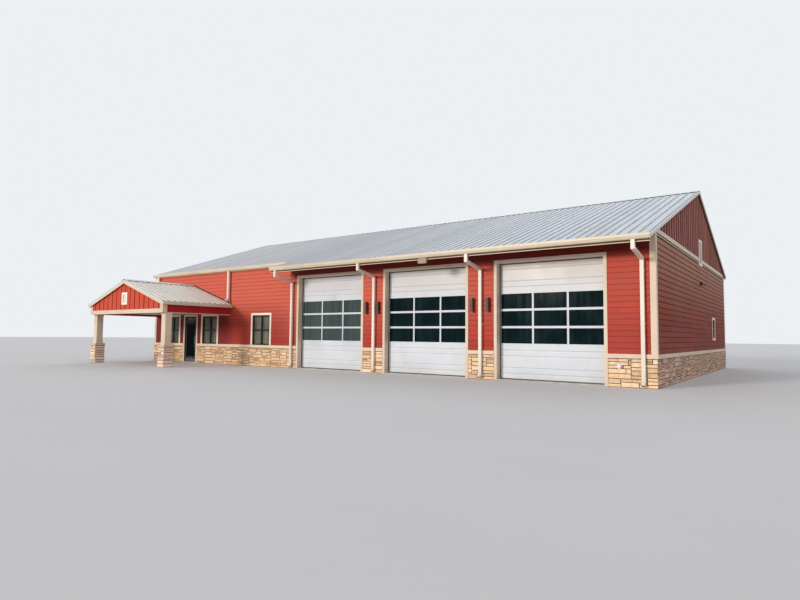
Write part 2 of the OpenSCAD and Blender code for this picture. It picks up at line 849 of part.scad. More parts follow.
module gutters() color(cream) {
    translate([0, -bay_eave, gutter_z(bay_eave)]) gutter(bays_x0, roof_end, gutter_h, gutter_lip);
    translate([0, -plain_eave, gutter_z(plain_eave)])
        gutter(-roof_end, bays_x0, gutter_h, gutter_lip);
    translate([0, house_d + plain_eave, gutter_z(plain_eave)]) mirror([0, 1, 0])
        gutter(-roof_end, roof_end, gutter_h, gutter_lip);
    for (side = [-1, 1]) translate([portico_mid + side * p_edge, 0, p_gutter_z])
        rotate([0, 0, side * 90])
            gutter(side < 0 ? 0 : -portico_d, side < 0 ? portico_d : 0, portico_gutter_h, 0);
}

p_gutter_z = p_roof_z(p_edge) - p_sheet_v - lay_gap - gutter_drop - portico_gutter_h;

// Outline of a band of half width r along a path of points
function unit(v) = v / norm(v);
function left_of(v) = [-v[1], v[0]];
function along(p, i) = unit(p[i + 1] - p[i]);
function mitre(p, i) =
    i == 0 ? left_of(along(p, 0)) :
    i == len(p) - 1 ? left_of(along(p, i - 1)) :
    let (a = left_of(along(p, i - 1)), m = unit(a + left_of(along(p, i)))) m / (m * a);
function band(p, r) = concat([for (i = [0 : len(p) - 1]) p[i] + r * mitre(p, i)],
    [for (i = [len(p) - 1 : -1 : 0]) p[i] - r * mitre(p, i)]);
function longer(p) = let (n = len(p) - 1) concat([p[0] - along(p, 0)],
    [for (i = [1 : n - 1]) p[i]], [p[n] + along(p, n - 1)]);

// A downspout whose path is given in Y and Z, open at both ends
module spout(x, path) {
    difference() {
        along_x(x - spout_w / 2, x + spout_w / 2) polygon(band(path, spout_d / 2));
        along_x(x - spout_w / 2 + spout_t, x + spout_w / 2 - spout_t)
            polygon(band(longer(path), spout_d / 2 - spout_t));
    }
}

spout_y = -cap_out - spout_d / 2;
function outlet_y(out) = -out - spout_d / 2;
bay_path = [[outlet_y(bay_eave), gutter_z(bay_eave)], [outlet_y(bay_eave), spout_turn_z],
    [spout_y, spout_turn_z - spout_fall], [spout_y, kick_z], [spout_y - kick_out, foot_z]];
back_top = gutter_z(plain_eave);
back_jog = 60;
back_path = [[outlet_y(plain_eave), back_top], [outlet_y(plain_eave), back_top - spout_drop],
    [spout_y, back_top - spout_drop - back_jog], [spout_y, kick_z], [spout_y - kick_out, foot_z]];
bay_spouts = concat([bays_x0 + spout_first], [for (i = [0 : bays - 2]) pier_mid(i) + spout_off[i]],
    [right - spout_end]);
office_spouts = [left + office_spout_a, left + office_spout_b];
office_kick = 150;

// The path of a downspout that ends on the portico's roof
function office_path(x) = let (z = p_roof_z(x - portico_mid) + rib_h + spout_w)
    [[outlet_y(plain_eave), back_top], [outlet_y(plain_eave), z + spout_drop],
    [outlet_y(plain_eave) - office_kick, z]];

module downspouts() color(cream) {
    for (x = bay_spouts) spout(x, bay_path);
    for (x = office_spouts) spout(x, office_path(x));
    translate([0, house_d, 0]) mirror([0, 1, 0])
        for (x = [left + spout_end, 0, right - spout_end]) spout(x, back_path);
}

// Vents and fittings

slat_tilt = 38;
slat_w = vent_out - 5;

// A louvred vent standing on z = 0 with its back at y = 0
module vent(w, h) {
    half = w / 2 - vent_frame;
    inner_h = h - 2 * vent_frame;
    along_y(-vent_out, 0) difference() {
        translate([-w / 2, 0]) square([w, h]);
        translate([-half, vent_frame]) square([2 * half, inner_h]);
    }
    count = floor(inner_h / slat_pitch);
    for (i = [0 : count - 1])
        translate([0, -vent_out / 2, vent_frame + (i + 0.5) * inner_h / count])
            along_x(-half, half) rotate(slat_tilt)
                square([slat_w, slat_t], center = true);
}

module gable_vents() color([0.90, 0.88, 0.84]) {
    both_ends() translate([right, y_mid + vent_off, vent_z]) rotate([0, 0, 90])
        vent(vent_w, vent_h);
    translate([portico_mid, -p_face, small_vent_z]) vent(small_vent_w, small_vent_h);
}

lamp_arm_h = 100;

module wall_light(x) {
    y = -lamp_gap - lamp_r;
    mid = lamp_z + lamp_h / 2;
    translate([x, y, lamp_z]) cylinder(r = lamp_r, h = lamp_h);
    block([x - lamp_r / 2, x + lamp_r / 2], [y, 0], [mid - lamp_arm_h / 2, mid + lamp_arm_h / 2]);
}

flood_base_t = 40;
flood_bar = [230, 40, 40];
flood_head_out = 95;
flood_head_up = 15;
flood_dip = 25;

// Two lamp heads on a bar and a round base, its back at y = 0
module floodlight() {
    rotate([90, 0, 0]) cylinder(r = flood_r, h = flood_base_t);
    translate([0, -flood_base_t + flood_bar[1] / 6, 0]) cube(flood_bar, center = true);
    for (side = [-1, 1])
        translate([side * flood_bar[0] * 0.47, -flood_head_out, flood_head_up])
            rotate([90 + flood_dip, 0, side * flood_dip])
                cylinder(r = flood_head_r, h = flood_head_l, center = true);
}

module outside_lights() color(near_black) {
    for (i = [0 : bays - 2], side = [-1, 1]) wall_light(pier_mid(i) + side * lamp_off);
    translate([right, y_mid + vent_off, flood_z]) rotate([0, 0, 90]) floodlight();
}

eave_light_d = 95;
eave_light_lip = 55;

// The light on the foot of the deep eave's fascia, with a sloping front
module eave_light() color([0.80, 0.78, 0.72]) {
    x = bay_x(1) + bay_w / 2 + eave_light_off;
    h = eave_light_h;
    translate([0, -bay_eave, gutter_z(bay_eave) - h])
        along_x(x - eave_light_l / 2, x + eave_light_l / 2)
            polygon([[0, 0], [-eave_light_d, 0], [-eave_light_d, h / 4], [-eave_light_lip, h], [0, h]]);
}

hose_flange_t = 8;
hose_neck_r = 45;
hose_neck_l = 60;
hose_cap_r = 54;
hose_cap_l = 30;
hose_lug_r = 10;
hose_lug_l = 15;

module hose_connection() color([0.80, 0.80, 0.82])
    translate([right - hose_end, -stone_out, hose_z]) rotate([90, 0, 0]) {
        cylinder(r = hose_r, h = hose_flange_t);
        cylinder(r = hose_neck_r, h = hose_neck_l);
        translate([0, 0, hose_neck_l]) cylinder(r = hose_cap_r, h = hose_cap_l);
        for (side = [-1, 1])
            translate([side * (hose_cap_r + hose_lug_r / 2), 0, hose_neck_l + (hose_cap_l - hose_lug_l) / 2])
                cylinder(r = hose_lug_r, h = hose_lug_l);
    }

// Portico

post_mid_y = -portico_d + post_back + post_w / 2;

module on_posts() {
    for (side = [-1, 1])
        translate([portico_mid + side * post_pitch / 2, post_mid_y, 0]) children();
}

module square_post(w, z0, z1) {
    block([-w / 2, w / 2], [-w / 2, w / 2], [z0, z1]);
}

module portico_post_bases() color(stone_tan) on_posts() {
    square_post(pier_w, 0, pier_h);
    square_post(pier_w + 2 * pier_cap_out, pier_h, pier_h + pier_cap_h);
}

module portico_posts() color(cream) on_posts() square_post(post_w, pier_h + pier_cap_h, beam_z);

// Half outline of what stands under the portico's deck, from dx0 out to dx1
module under_deck(dx0, dx1, z0) {
    polygon([[dx0, z0], [dx1, z0], [dx1, p_under_z(dx1)], [dx0, p_under_z(dx0)]]);
}

module portico_beams() color(brick_red) {
    y0 = -p_face + gable_t;
    translate([portico_mid, 0, 0]) {
        both_ends() along_y(y0, 0) under_deck(gable_w / 2 - beam_w, gable_w / 2, beam_z);
        block([-gable_w / 2 + beam_w, gable_w / 2 - beam_w], [y0, y0 + beam_w],
            [beam_z, p_under_z(gable_w / 2)]);
    }
}

module portico_ceiling() color(cream) {
    half = gable_w / 2 - beam_w;
    y0 = -p_face + gable_t + beam_w;
    z0 = beam_z + ceiling_up;
    block([portico_mid - half, portico_mid + half], [y0, 0], [z0, z0 + ceiling_t]);
}

module portico_gable() color(brick_red) translate([portico_mid, 0, 0]) {
    half = gable_w / 2;
    along_y(-p_face, -p_face + gable_t)
        polygon([[-half, beam_z], [half, beam_z], [half, p_under_z(half)], [0, p_under_z(0)],
            [-half, p_under_z(half)]]);
}

// A chevron that follows the portico's roof out to dx, between two depths below the roofing
module chevron(dx, v0, v1) {
    z0 = p_roof_z(0) - p_sheet_v - lay_gap;
    z1 = p_roof_z(dx) - p_sheet_v - lay_gap;
    polygon([[-dx, z1 - v0], [0, z0 - v0], [dx, z1 - v0], [dx, z1 - v1], [0, z0 - v1],
        [-dx, z1 - v1]]);
}

portico_board_out = 25;

module portico_trim() color(cream) translate([portico_mid, 0, 0]) {
    half = gable_w / 2;
    out = portico_board_out;
    block([-half - out, half + out], [-p_face - out, -p_face], [beam_z, beam_z + foot_board_h]);
    both_ends() {
        along_y(-p_face - out, -p_face) {
            polygon([[half - portico_corner_w, beam_z + foot_board_h], [half + out, beam_z + foot_board_h],
                [half + out, p_under_z(half + out)],
                [half - portico_corner_w, p_under_z(half - portico_corner_w)]]);
        }
        block([half, half + out], [-p_face, -p_face + portico_corner_w],
            [beam_z, p_under_z(half + out)]);
    }
    along_y(-portico_d, -portico_d + board_t) chevron(p_edge, 0, portico_rake_h);
    both_ends() block([p_edge - board_t, p_edge], [-portico_d + board_t, 0],
        [p_gutter_z, p_roof_z(p_edge) - p_sheet_v - lay_gap]);
}

module portico_roof_deck() color([0.55, 0.50, 0.45]) translate([portico_mid, 0, 0])
    along_y(-portico_d + board_t, 0) chevron(p_edge - board_t, 0, portico_deck_v);

module portico_roof_panels() color(galvanised) translate([portico_mid, 0, 0]) both_ends() {
    reach = p_edge + sheet_drip;
    translate([reach, -portico_d, p_roof_z(reach)]) rotate([0, p_deg, 0]) rotate([0, 0, 90])
        along_y(0, (reach - ridge_stop) / cos(p_deg)) ribbed_outline(portico_d);
}

// Puts the middle of the whole footprint at the origin
module site() translate([0, y_shift, 0]) children();

// One line for each piece
site() floor_slab();
site() front_wall_left();
site() front_wall_middle();
site() front_wall_over_entry();
site() bay_piers();
site() bay_header();
site() left_gable_wall();
site() right_gable_wall();
site() back_wall();
site() stone_base_office();
site() stone_base_bays();
site() stone_base_rear();
site() stone_cap();
site() corner_boards();
site() gable_bands();
site() door_trim();
site() bay_door_left();
site() bay_door_middle();
site() bay_door_right();
site() bay_door_glass();
site() window_trim();
site() window_frames();
site() window_glass();
site() entry_frame();
site() entry_door();
site() entry_door_glass();
site() entry_handle();
site() roof_deck();
site() bay_soffit();
site() eave_fascia();
site() rake_trim();
site() roof_panels_bays();
site() roof_panels_office();
site() roof_panels_back();
site() ridge_caps();
site() gutters();
site() downspouts();
site() gable_vents();
site() outside_lights();
site() eave_light();
site() hose_connection();
site() portico_post_bases();
site() portico_posts();
site() portico_beams();
site() portico_ceiling();
site() portico_gable();
site() portico_trim();
site() portico_roof_deck();
site() portico_roof_panels();
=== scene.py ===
"""Dresses the fire station: boards, stones, roofing details, doors, glass and fittings."""

import json
import logging
import math
import random
from collections.abc import Callable, Iterator, Sequence
from dataclasses import dataclass, replace
from enum import Enum

import bmesh
import bpy
from mathutils import Matrix, Vector


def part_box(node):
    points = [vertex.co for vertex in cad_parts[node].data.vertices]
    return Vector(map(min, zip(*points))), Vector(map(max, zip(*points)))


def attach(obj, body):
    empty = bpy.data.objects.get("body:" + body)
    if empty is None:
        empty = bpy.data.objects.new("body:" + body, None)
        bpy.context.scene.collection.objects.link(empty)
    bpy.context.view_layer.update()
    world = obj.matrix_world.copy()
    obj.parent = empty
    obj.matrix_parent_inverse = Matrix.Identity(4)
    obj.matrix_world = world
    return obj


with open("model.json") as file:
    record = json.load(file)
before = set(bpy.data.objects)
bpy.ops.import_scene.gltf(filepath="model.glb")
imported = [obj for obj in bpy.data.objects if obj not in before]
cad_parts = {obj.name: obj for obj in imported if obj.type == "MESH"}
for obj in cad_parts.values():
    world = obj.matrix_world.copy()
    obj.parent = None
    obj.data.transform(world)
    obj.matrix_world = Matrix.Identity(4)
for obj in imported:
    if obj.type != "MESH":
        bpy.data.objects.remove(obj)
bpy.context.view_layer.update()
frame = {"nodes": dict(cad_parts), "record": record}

LOG = logging.getLogger("fire_station")
Span = tuple[float, float]
Triple = tuple[float, float, float]
Quad = tuple[float, float, float, float]
Colour = Quad
Socket = bpy.types.NodeSocket
EAST = Vector((1, 0, 0))
UP = Vector((0, 0, 1))


def paint(red: int, green: int, blue: int) -> Colour:
    """The linear colour of a paint chip.

    Args:
        red, green, blue: the chip's channels, 0 to 255.

    Returns:
        The linear colour with an alpha of 1.
    """
    steps = [value / 255 for value in (red, green, blue)]
    linear = [s / 12.92 if s <= 0.04045 else ((s + 0.055) / 1.055) ** 2.4 for s in steps]
    return (linear[0], linear[1], linear[2], 1.0)


class Side(Enum):
    """The building's four outside faces, each with its direction along and its outward direction."""

    FRONT = ((1, 0, 0), (0, -1, 0))
    BACK = ((1, 0, 0), (0, 1, 0))
    RIGHT = ((0, 1, 0), (1, 0, 0))
    LEFT = ((0, 1, 0), (-1, 0, 0))

    @property
    def along(self) -> Vector:
        """The direction along the face."""
        return Vector(self.value[0])

    @property
    def out(self) -> Vector:
        """The direction out of the face."""
        return Vector(self.value[1])

    @property
    def word(self) -> str:
        """The side's name in piece names."""
        return self.name.lower()


LONG_SIDES = (Side.FRONT, Side.BACK)
ENDS = (Side.LEFT, Side.RIGHT)


def axes(origin: Vector, along: Vector, out: Vector, up: Vector = UP) -> Matrix:
    """The matrix that takes a surface's own metres into the building's frame.

    Args:
        origin: where the surface's own axes start.
        along, out, up: the directions of its three axes.

    Returns:
        The matrix.
    """
    matrix = Matrix((along, out, up)).transposed().to_4x4()
    matrix.translation = origin
    return matrix


@dataclass(frozen=True)
class Plan:
    """The building's main sizes in metres, read from the frame where a node shows them."""

    front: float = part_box("front_wall_left")[0].y
    back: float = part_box("back_wall")[1].y
    end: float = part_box("right_gable_wall")[1].x
    base_top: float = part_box("stone_base_bays")[1].z
    cap_top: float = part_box("stone_cap")[1].z
    band_foot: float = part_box("gable_bands")[0].z
    band_top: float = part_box("gable_bands")[1].z
    wall_t: float = 0.24
    board_t: float = 0.02
    stone_out: float = 0.02
    trim_w: float = 0.1
    corner_w: float = 0.145
    deep_eave_x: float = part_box("bay_soffit")[0].x - board_t
    roof_end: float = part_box("roof_panels_bays")[1].x
    eave_z: float = 4.8
    slope: float = 0.346
    deck_drop: float = 0.1429
    rake_drop: float = 0.1029
    deep_out: float = 1.065
    plain_out: float = 0.075
    slab: float = 0.03
    bay_w: float = 3.658
    bay_h: float = 4.046
    bay_pier: float = 1.219
    bay_end: float = 1.498
    win_w: float = 1.22
    win_h: float = 1.41
    win_from_left: tuple[float, ...] = (1.72, 4.98, 8.92)
    entry_from_left: float = 3.35
    entry_w: float = 1.01
    entry_h: float = 2.41
    side_win_from_front: float = 11.9
    side_win_size: Triple = (0.7, 1.52, 0.84)
    vent_off: float = 0.38
    vent_size: Triple = (0.74, 4.5, 1.08)

    @property
    def middle(self) -> float:
        """Where the ridge runs, from front to back."""
        return (self.front + self.back) / 2

    @property
    def tilt(self) -> float:
        """The roof's angle."""
        return math.atan(self.slope)

    @property
    def bay_left(self) -> list[float]:
        """The left jambs of the three bay doorways."""
        last = self.end - self.bay_end - self.bay_w
        return [round(last - count * (self.bay_w + self.bay_pier), 3) for count in (2, 1, 0)]

    @property
    def windows(self) -> list[float]:
        """The middles of the office windows."""
        return [round(far - self.end, 3) for far in self.win_from_left]

    @property
    def entry_mid(self) -> float:
        """The middle of the entry doorway."""
        return round(self.entry_from_left - self.end, 3)

    @property
    def side_win(self) -> Quad:
        """The middle, width, sill and height of the window in an end wall."""
        return (round(self.front + self.side_win_from_front, 3), *self.side_win_size)

    @property
    def vent(self) -> Quad:
        """The middle, width, foot and height of a gable's vent."""
        return (round(self.middle + self.vent_off, 3), *self.vent_size)

    def under_deck(self, y: float) -> float:
        """Height of the underside of the roof deck at a place between front and back."""
        reach = min(y - self.front, self.back - y)
        return self.eave_z - self.deck_drop + self.slope * reach

    def under_rake(self, y: float) -> float:
        """Height of the thinner roof's underside past the end walls."""
        return self.under_deck(y) + self.deck_drop - self.rake_drop

    def wall(self, side: Side, stand_off: float = 0.0) -> Matrix:
        """The axes of an outside face, moved out by stand_off."""
        face = {Side.FRONT: -self.front, Side.BACK: self.back}.get(side, self.end)
        return axes(side.out * (face + stand_off), side.along, side.out)


@dataclass(frozen=True)
class Gap:
    """A place on a wall that its boards or stones leave free."""

    start: float
    end: float
    foot: float
    head: float


def opening(middle: float, width: float, foot: float, head: float, trim: float = 0.1) -> Gap:
    """The gap for an opening with boards of width trim at its sides and its head."""
    return Gap(middle - width / 2 - trim, middle + width / 2 + trim, foot, head + trim)


def free_runs(start: float, end: float, gaps: Sequence[Gap]) -> list[Span]:
    """The stretches between two places that no gap takes.

    Args:
        start, end: the two places.
        gaps: the gaps between them, in any order.

    Returns:
        The start and end of each stretch over 10 mm.
    """
    runs = []
    at = start
    for gap in sorted(gaps, key=lambda item: item.start):
        if gap.start > at:
            runs.append((at, min(gap.start, end)))
        at = max(at, gap.end)
    runs.append((at, end))
    return [(low, high) for low, high in runs if high - low > 0.01]


class Shader:
    """A Principled material while its nodes are being wired."""

    def __init__(self, name: str, rough: float, metal: float, gloss: float) -> None:
        """Starts the material with its constants set on the shader's own sockets.

        Args:
            name: the material's name.
            rough, metal, gloss: its roughness, metalness and specular level.
        """
        self.material = bpy.data.materials.new(name)
        self.material.use_nodes = True
        self.tree = self.material.node_tree
        self.bsdf = self.tree.nodes["Principled BSDF"]
        self.bsdf.inputs["Roughness"].default_value = rough
        self.bsdf.inputs["Metallic"].default_value = metal
        self.bsdf.inputs["Specular IOR Level"].default_value = gloss
        self.place = self.tree.nodes.new("ShaderNodeTexCoord").outputs["Object"]

    def drive(self, socket: Socket, value: Socket | float | Sequence[float]) -> None:
        """Links a socket to the one that drives it, or sets its plain value.

        Args:
            socket: the socket.
            value: what it gets.
        """
        if isinstance(value, bpy.types.NodeSocket):
            self.tree.links.new(value, socket)
        else:
            socket.default_value = value

    def add(self, kind: str, **sockets: Socket | float | Sequence[float]) -> bpy.types.Node:
        """Adds a node and feeds its inputs, named with underscores for spaces.

        Args:
            kind: the node's type, without its ShaderNode prefix.
            sockets: for each input a value or the socket that drives it.

        Returns:
            The new node.
        """
        node = self.tree.nodes.new("ShaderNode" + kind)
        for name, value in sockets.items():
            self.drive(node.inputs[name.replace("_", " ")], value)
        return node

    def feed(self, name: str, value: Socket) -> None:
        """Drives one of the shader's inputs."""
        self.tree.links.new(value, self.bsdf.inputs[name])

    def stretched(self, x: float, y: float, z: float) -> Socket:
        """The object's coordinates scaled on each axis."""
        return self.add("Mapping", Vector=self.place, Scale=(x, y, z)).outputs[0]

    def noise(self, scale: float, detail: float = 3.0, where: Socket | None = None) -> Socket:
        """Noise of 0 to 1 at a scale, at the given coordinates."""
        source = self.place if where is None else where
        return self.add("TexNoise", Vector=source, Scale=scale, Detail=detail).outputs[0]

    def lines(self, x: float, y: float, z: float, detail: float = 3.0) -> Socket:
        """Noise of 0 to 1 drawn out along the axes that are scaled least."""
        return self.noise(1.0, detail, self.stretched(x, y, z))

    def remap(self, value: Socket, low: float, high: float, to: Span) -> Socket:
        """The value taken from low..high to another range, clamped.

        Args:
            value: the value.
            low, high: the range that it comes from.
            to: the range that it goes to.

        Returns:
            The new value.
        """
        node = self.add("MapRange", Value=value)
        for index, number in enumerate((low, high, *to), start=1):
            node.inputs[index].default_value = number
        return node.outputs[0]

    def reach(self, axis: str, span: Span, to: Span = (0.0, 1.0)) -> Socket:
        """How far a place lies through a span of the X, Y or Z axis, taken to a range."""
        return self.remap(self.axis(axis), *span, to)

    def maths(self, kind: str, first: Socket | float, second: Socket | float = 0.0) -> Socket:
        """A Math node on two values.

        Args:
            kind: its operation.
            first, second: its values or the sockets that drive them.

        Returns:
            Its result.
        """
        node = self.tree.nodes.new("ShaderNodeMath")
        node.operation = kind
        for socket, value in zip(node.inputs, (first, second)):
            self.drive(socket, value)
        return node.outputs[0]

    def times(self, first: Socket, second: Socket | float) -> Socket:
        """The product of two values."""
        return self.maths("MULTIPLY", first, second)

    def plus(self, first: Socket, second: Socket | float) -> Socket:
        """The sum of two values."""
        return self.maths("ADD", first, second)

    def minus(self, first: Socket, second: Socket | float) -> Socket:
        """The first value less the second."""
        return self.maths("SUBTRACT", first, second)

    def through(self, value: Socket, step: float) -> Socket:
        """How far a value lies through its step, 0 to 1."""
        return self.maths("FRACT", self.maths("DIVIDE", value, step))

    def ramp(self, value: Socket, *stops: tuple[float, Colour]) -> Socket:
        """A colour ramp.

        Args:
            value: what picks the colour.
            stops: the ramp's places, each with its colour.

        Returns:
            The colour.
        """
        node = self.add("ValToRGB", Fac=value)
        elements = node.color_ramp.elements
        while len(elements) < len(stops):
            elements.new(0.5)
        for element, (where, colour) in zip(elements, stops):
            element.position = where
            element.color = colour
        return node.outputs[0]

    def mix(self, amount: Socket | float, first: Socket | Colour, second: Socket | Colour,
            blend: str = "MIX") -> Socket:
        """Blends two colours.

        Args:
            amount: how much of the second shows.
            first, second: the colours.
            blend: the kind of blend.

        Returns:
            The blended colour.
        """
        node = self.tree.nodes.new("ShaderNodeMix")
        node.data_type = "RGBA"
        node.blend_type = blend
        for index, value in ((0, amount), (6, first), (7, second)):
            self.drive(node.inputs[index], value)
        return node.outputs[2]

    def axis(self, name: str) -> Socket:
        """One of the object's coordinates, X, Y or Z."""
        return self.add("SeparateXYZ", Vector=self.place).outputs[name]

    def tone(self) -> Socket:
        """The tone that each board or stone carries, 0 to 1."""
        node = self.tree.nodes.new("ShaderNodeAttribute")
        node.attribute_name = "tone"
        return node.outputs["Fac"]

    def bump(self, height: Socket, strength: float, distance: float) -> None:
        """Roughens the surface by the height."""
        node = self.add("Bump", Height=height, Strength=strength, Distance=distance)
        self.feed("Normal", node.outputs[0])


@dataclass(frozen=True)
class Finish:
    """A surface finish: the record's slot that it belongs to and its shader's constants."""

    name: str
    slot: str
    rough: float = 0.5
    metal: float = 0.0
    gloss: float = 0.5

    def dress(self, shader: Shader) -> None:
        """Wires the finish's own colours and relief."""
        raise NotImplementedError

    def material(self) -> bpy.types.Material:
        """The finish's material, made once."""
        if self.name not in bpy.data.materials:
            self.dress(Shader(self.name, self.rough, self.metal, self.gloss))
        return bpy.data.materials[self.name]


RAIN_GRIME: Colour = (0.2, 0.18, 0.15, 1)
LAP_SHADE: Colour = (0.05, 0.012, 0.01, 1)
# colours of the painted shadow under the deep eave and the painted shade under the portico
EAVE_SHADOW_RED: Colour = (0.08, 0.003, 0.003, 1)
PORCH_SHADE_RED: Colour = (0.16, 0.008, 0.006, 1)
# painted shade and painted highlight along the door grooves
GROOVE_SHADE: Colour = (0.84, 0.84, 0.84, 1)
GROOVE_HIGHLIGHT: Colour = (1.08, 1.08, 1.07, 1)
UNCHANGED: Colour = (1.0, 1.0, 1.0, 1)


@dataclass(frozen=True)
class Coat(Finish):
    """Paint or coating whose colour varies, with rain streaks, dust at its foot and a grain."""

    dark: Colour = (0.5, 0.5, 0.5, 1)
    light: Colour = (0.6, 0.6, 0.6, 1)
    patch: float = 0.6
    grain: Triple = (1.5, 1.5, 60.0)
    grain_depth: float = 0.0006
    by_tone: float = 0.0
    streak: float = 0.06
    dust: Colour = (0.42, 0.36, 0.28, 1)
    dust_amount: float = 0.0
    dust_top: float = 0.6
    # lap courses for painted shade: their exposure, where they start, and how dark the painted shade under
    # each lap is
    lap: float = 0.0
    lap_from: float = 1.0
    lap_line: float = 0.3

    def dress(self, shader: Shader) -> None:
        """Wires patches, tone, streaks, dust, the painted light and shade of subclasses, painted shade lines
        under the laps, and grain.
        """
        patches = shader.noise(self.patch, 4.0)
        shade = patches
        if self.by_tone:
            own = shader.times(shader.tone(), self.by_tone)
            shade = shader.plus(own, shader.times(patches, 1 - self.by_tone))
        colour = shader.ramp(shade, (0.3, self.dark), (0.7, self.light))
        grain = shader.lines(*self.grain, 5.0)
        colour = shader.mix(shader.remap(grain, 0.35, 0.65, (0.0, 0.12)), colour, self.dark)
        rain = shader.remap(shader.lines(5.0, 5.0, 0.35), 0.5, 0.75, (0.0, self.streak))
        colour = shader.mix(rain, colour, RAIN_GRIME)
        low = shader.reach("Z", (0.0, self.dust_top), (1.0, 0.0))
        low = shader.times(low, shader.remap(shader.noise(3.0), 0.3, 0.7, (0.3, 1.0)))
        colour = shader.mix(shader.times(low, self.dust_amount), colour, self.dust)
        colour = self.age(shader, colour)
        # painted shade: a dark line under each board's butt and along each board's foot
        if self.lap:
            place = shader.through(shader.minus(shader.axis("Z"), self.lap_from), self.lap)
            under = shader.remap(place, 0.8, 0.93, (0.0, self.lap_line))
            edge = shader.remap(place, 0.0, 0.03, (self.lap_line, 0.0))
            colour = shader.mix(shader.maths("MAXIMUM", under, edge), colour, LAP_SHADE)
        shader.feed("Base Color", colour)
        wear = shader.remap(patches, 0.3, 0.7, (self.rough - 0.06, self.rough + 0.08))
        shader.feed("Roughness", wear)
        shader.bump(grain, 0.6, self.grain_depth)

    def age(self, shader: Shader, colour: Socket) -> Socket:
        """The light and shade painted into the colour: none on a plain coat."""
        return colour


@dataclass(frozen=True)
class FadedBoards(Coat):
    """Wall boards with light and shade painted on: lighter higher up and towards the offices, darker under
    the deep eave, low on the office wall and under the portico.
    """

    # painted light: the paler colour of the lit upper boards, the heights and the places along where it
    # shows, and how little of it shows at the right end
    faded: Colour = (0.56, 0.102, 0.062, 1)
    fade_up: Span = (1.2, 2.8)
    fade_along: Span = (-13.0, -3.0)
    least: float = 0.4
    # painted shadow under the deep eave: how dark it is, the heights it covers, and where it starts along
    # the front
    gloom: float = 0.8
    gloom_up: Span = (3.9, 4.2)
    gloom_from: Span = (-2.31, -2.3)
    # painted shade on the low walls of the offices and under the portico: its heights, its strength, and
    # where it ends
    low_walls: Span = (2.1, 3.3)
    office: float = 0.38
    office_at: Span = (-3.2, -2.2)
    porch: float = 0.7
    porch_at: Span = (-7.0, -6.2)
    front_at: Span = (-1.0, 1.0)

    def age(self, shader: Shader, colour: Socket) -> Socket:
        """Paints light on the boards higher up and towards the offices, painted shadow under the deep eave,
        and painted shade low on the office wall and under the portico.

        Args:
            shader: the material being wired.
            colour: its colour so far.

        Returns:
            The aged colour.
        """
        # painted light: paler boards higher up and towards the offices
        along = shader.remap(shader.times(shader.axis("X"), -1.0), *self.fade_along, (self.least, 1.0))
        colour = shader.mix(shader.times(shader.reach("Z", self.fade_up), along), colour, self.faded)
        # painted shadow of the deep eave at the head of the front wall
        front = shader.reach("Y", self.front_at, (1.0, 0.0))
        under = shader.reach("Z", self.gloom_up, (0.0, self.gloom))
        under = shader.times(shader.times(under, shader.reach("X", self.gloom_from)), front)
        colour = shader.mix(under, colour, EAVE_SHADOW_RED)
        # painted shade low on the office wall and under the portico
        shade = shader.plus(shader.reach("X", self.office_at, (self.office, 0.0)),
                            shader.reach("X", self.porch_at, (self.porch, 0.0)))
        shade = shader.times(shader.times(shade, shader.reach("Z", self.low_walls, (1.0, 0.0))), front)
        return shader.mix(shade, colour, PORCH_SHADE_RED)


@dataclass(frozen=True)
class DoorPaint(Coat):
    """Door paint with a warm painted shade towards the head, and painted shade and highlight along the
    grooves.
    """

    aged: Colour = (0.5, 0.43, 0.36, 1)
    age_up: Span = (2.8, 4.1)
    amount: float = 0.7
    slab: float = 0.03
    section: float = 0.5975
    glazed: Span = (1.225, 3.0175)
    grooved: float = 0.3
    dirt_to: float = 0.12
    shine_from: float = 0.8

    def age(self, shader: Shader, colour: Socket) -> Socket:
        """Paints a warm shade towards the head, and painted shade and highlight along the grooves of the
        plain sections.

        Args:
            shader: the material being wired.
            colour: its colour so far.

        Returns:
            The aged colour.
        """
        # painted warm shade towards the door's head, stronger towards the right
        rise = shader.reach("Z", self.age_up, (0.0, self.amount))
        rise = shader.times(rise, shader.reach("X", (0.0, 10.0), (0.5, 1.2)))
        colour = shader.mix(rise, colour, self.aged)
        height = shader.minus(shader.axis("Z"), self.slab)
        third = shader.through(height, self.section / 3)
        off = shader.maths("ABSOLUTE", shader.minus(shader.through(height, self.section), 0.5))
        inside = shader.maths("LESS_THAN", off, self.grooved)
        off = shader.maths("ABSOLUTE", shader.minus(shader.axis("Z"), sum(self.glazed) / 2))
        beside = shader.maths("GREATER_THAN", off, (self.glazed[1] - self.glazed[0]) / 2)
        inside = shader.times(inside, beside)
        # painted shade just above each groove line, painted highlight just below it
        shade_mask = shader.times(shader.maths("LESS_THAN", third, self.dirt_to), inside)
        highlight_mask = shader.times(shader.maths("GREATER_THAN", third, self.shine_from), inside)
        colour = shader.mix(shade_mask, colour, GROOVE_SHADE, "MULTIPLY")
        return shader.mix(highlight_mask, colour, GROOVE_HIGHLIGHT, "MULTIPLY")


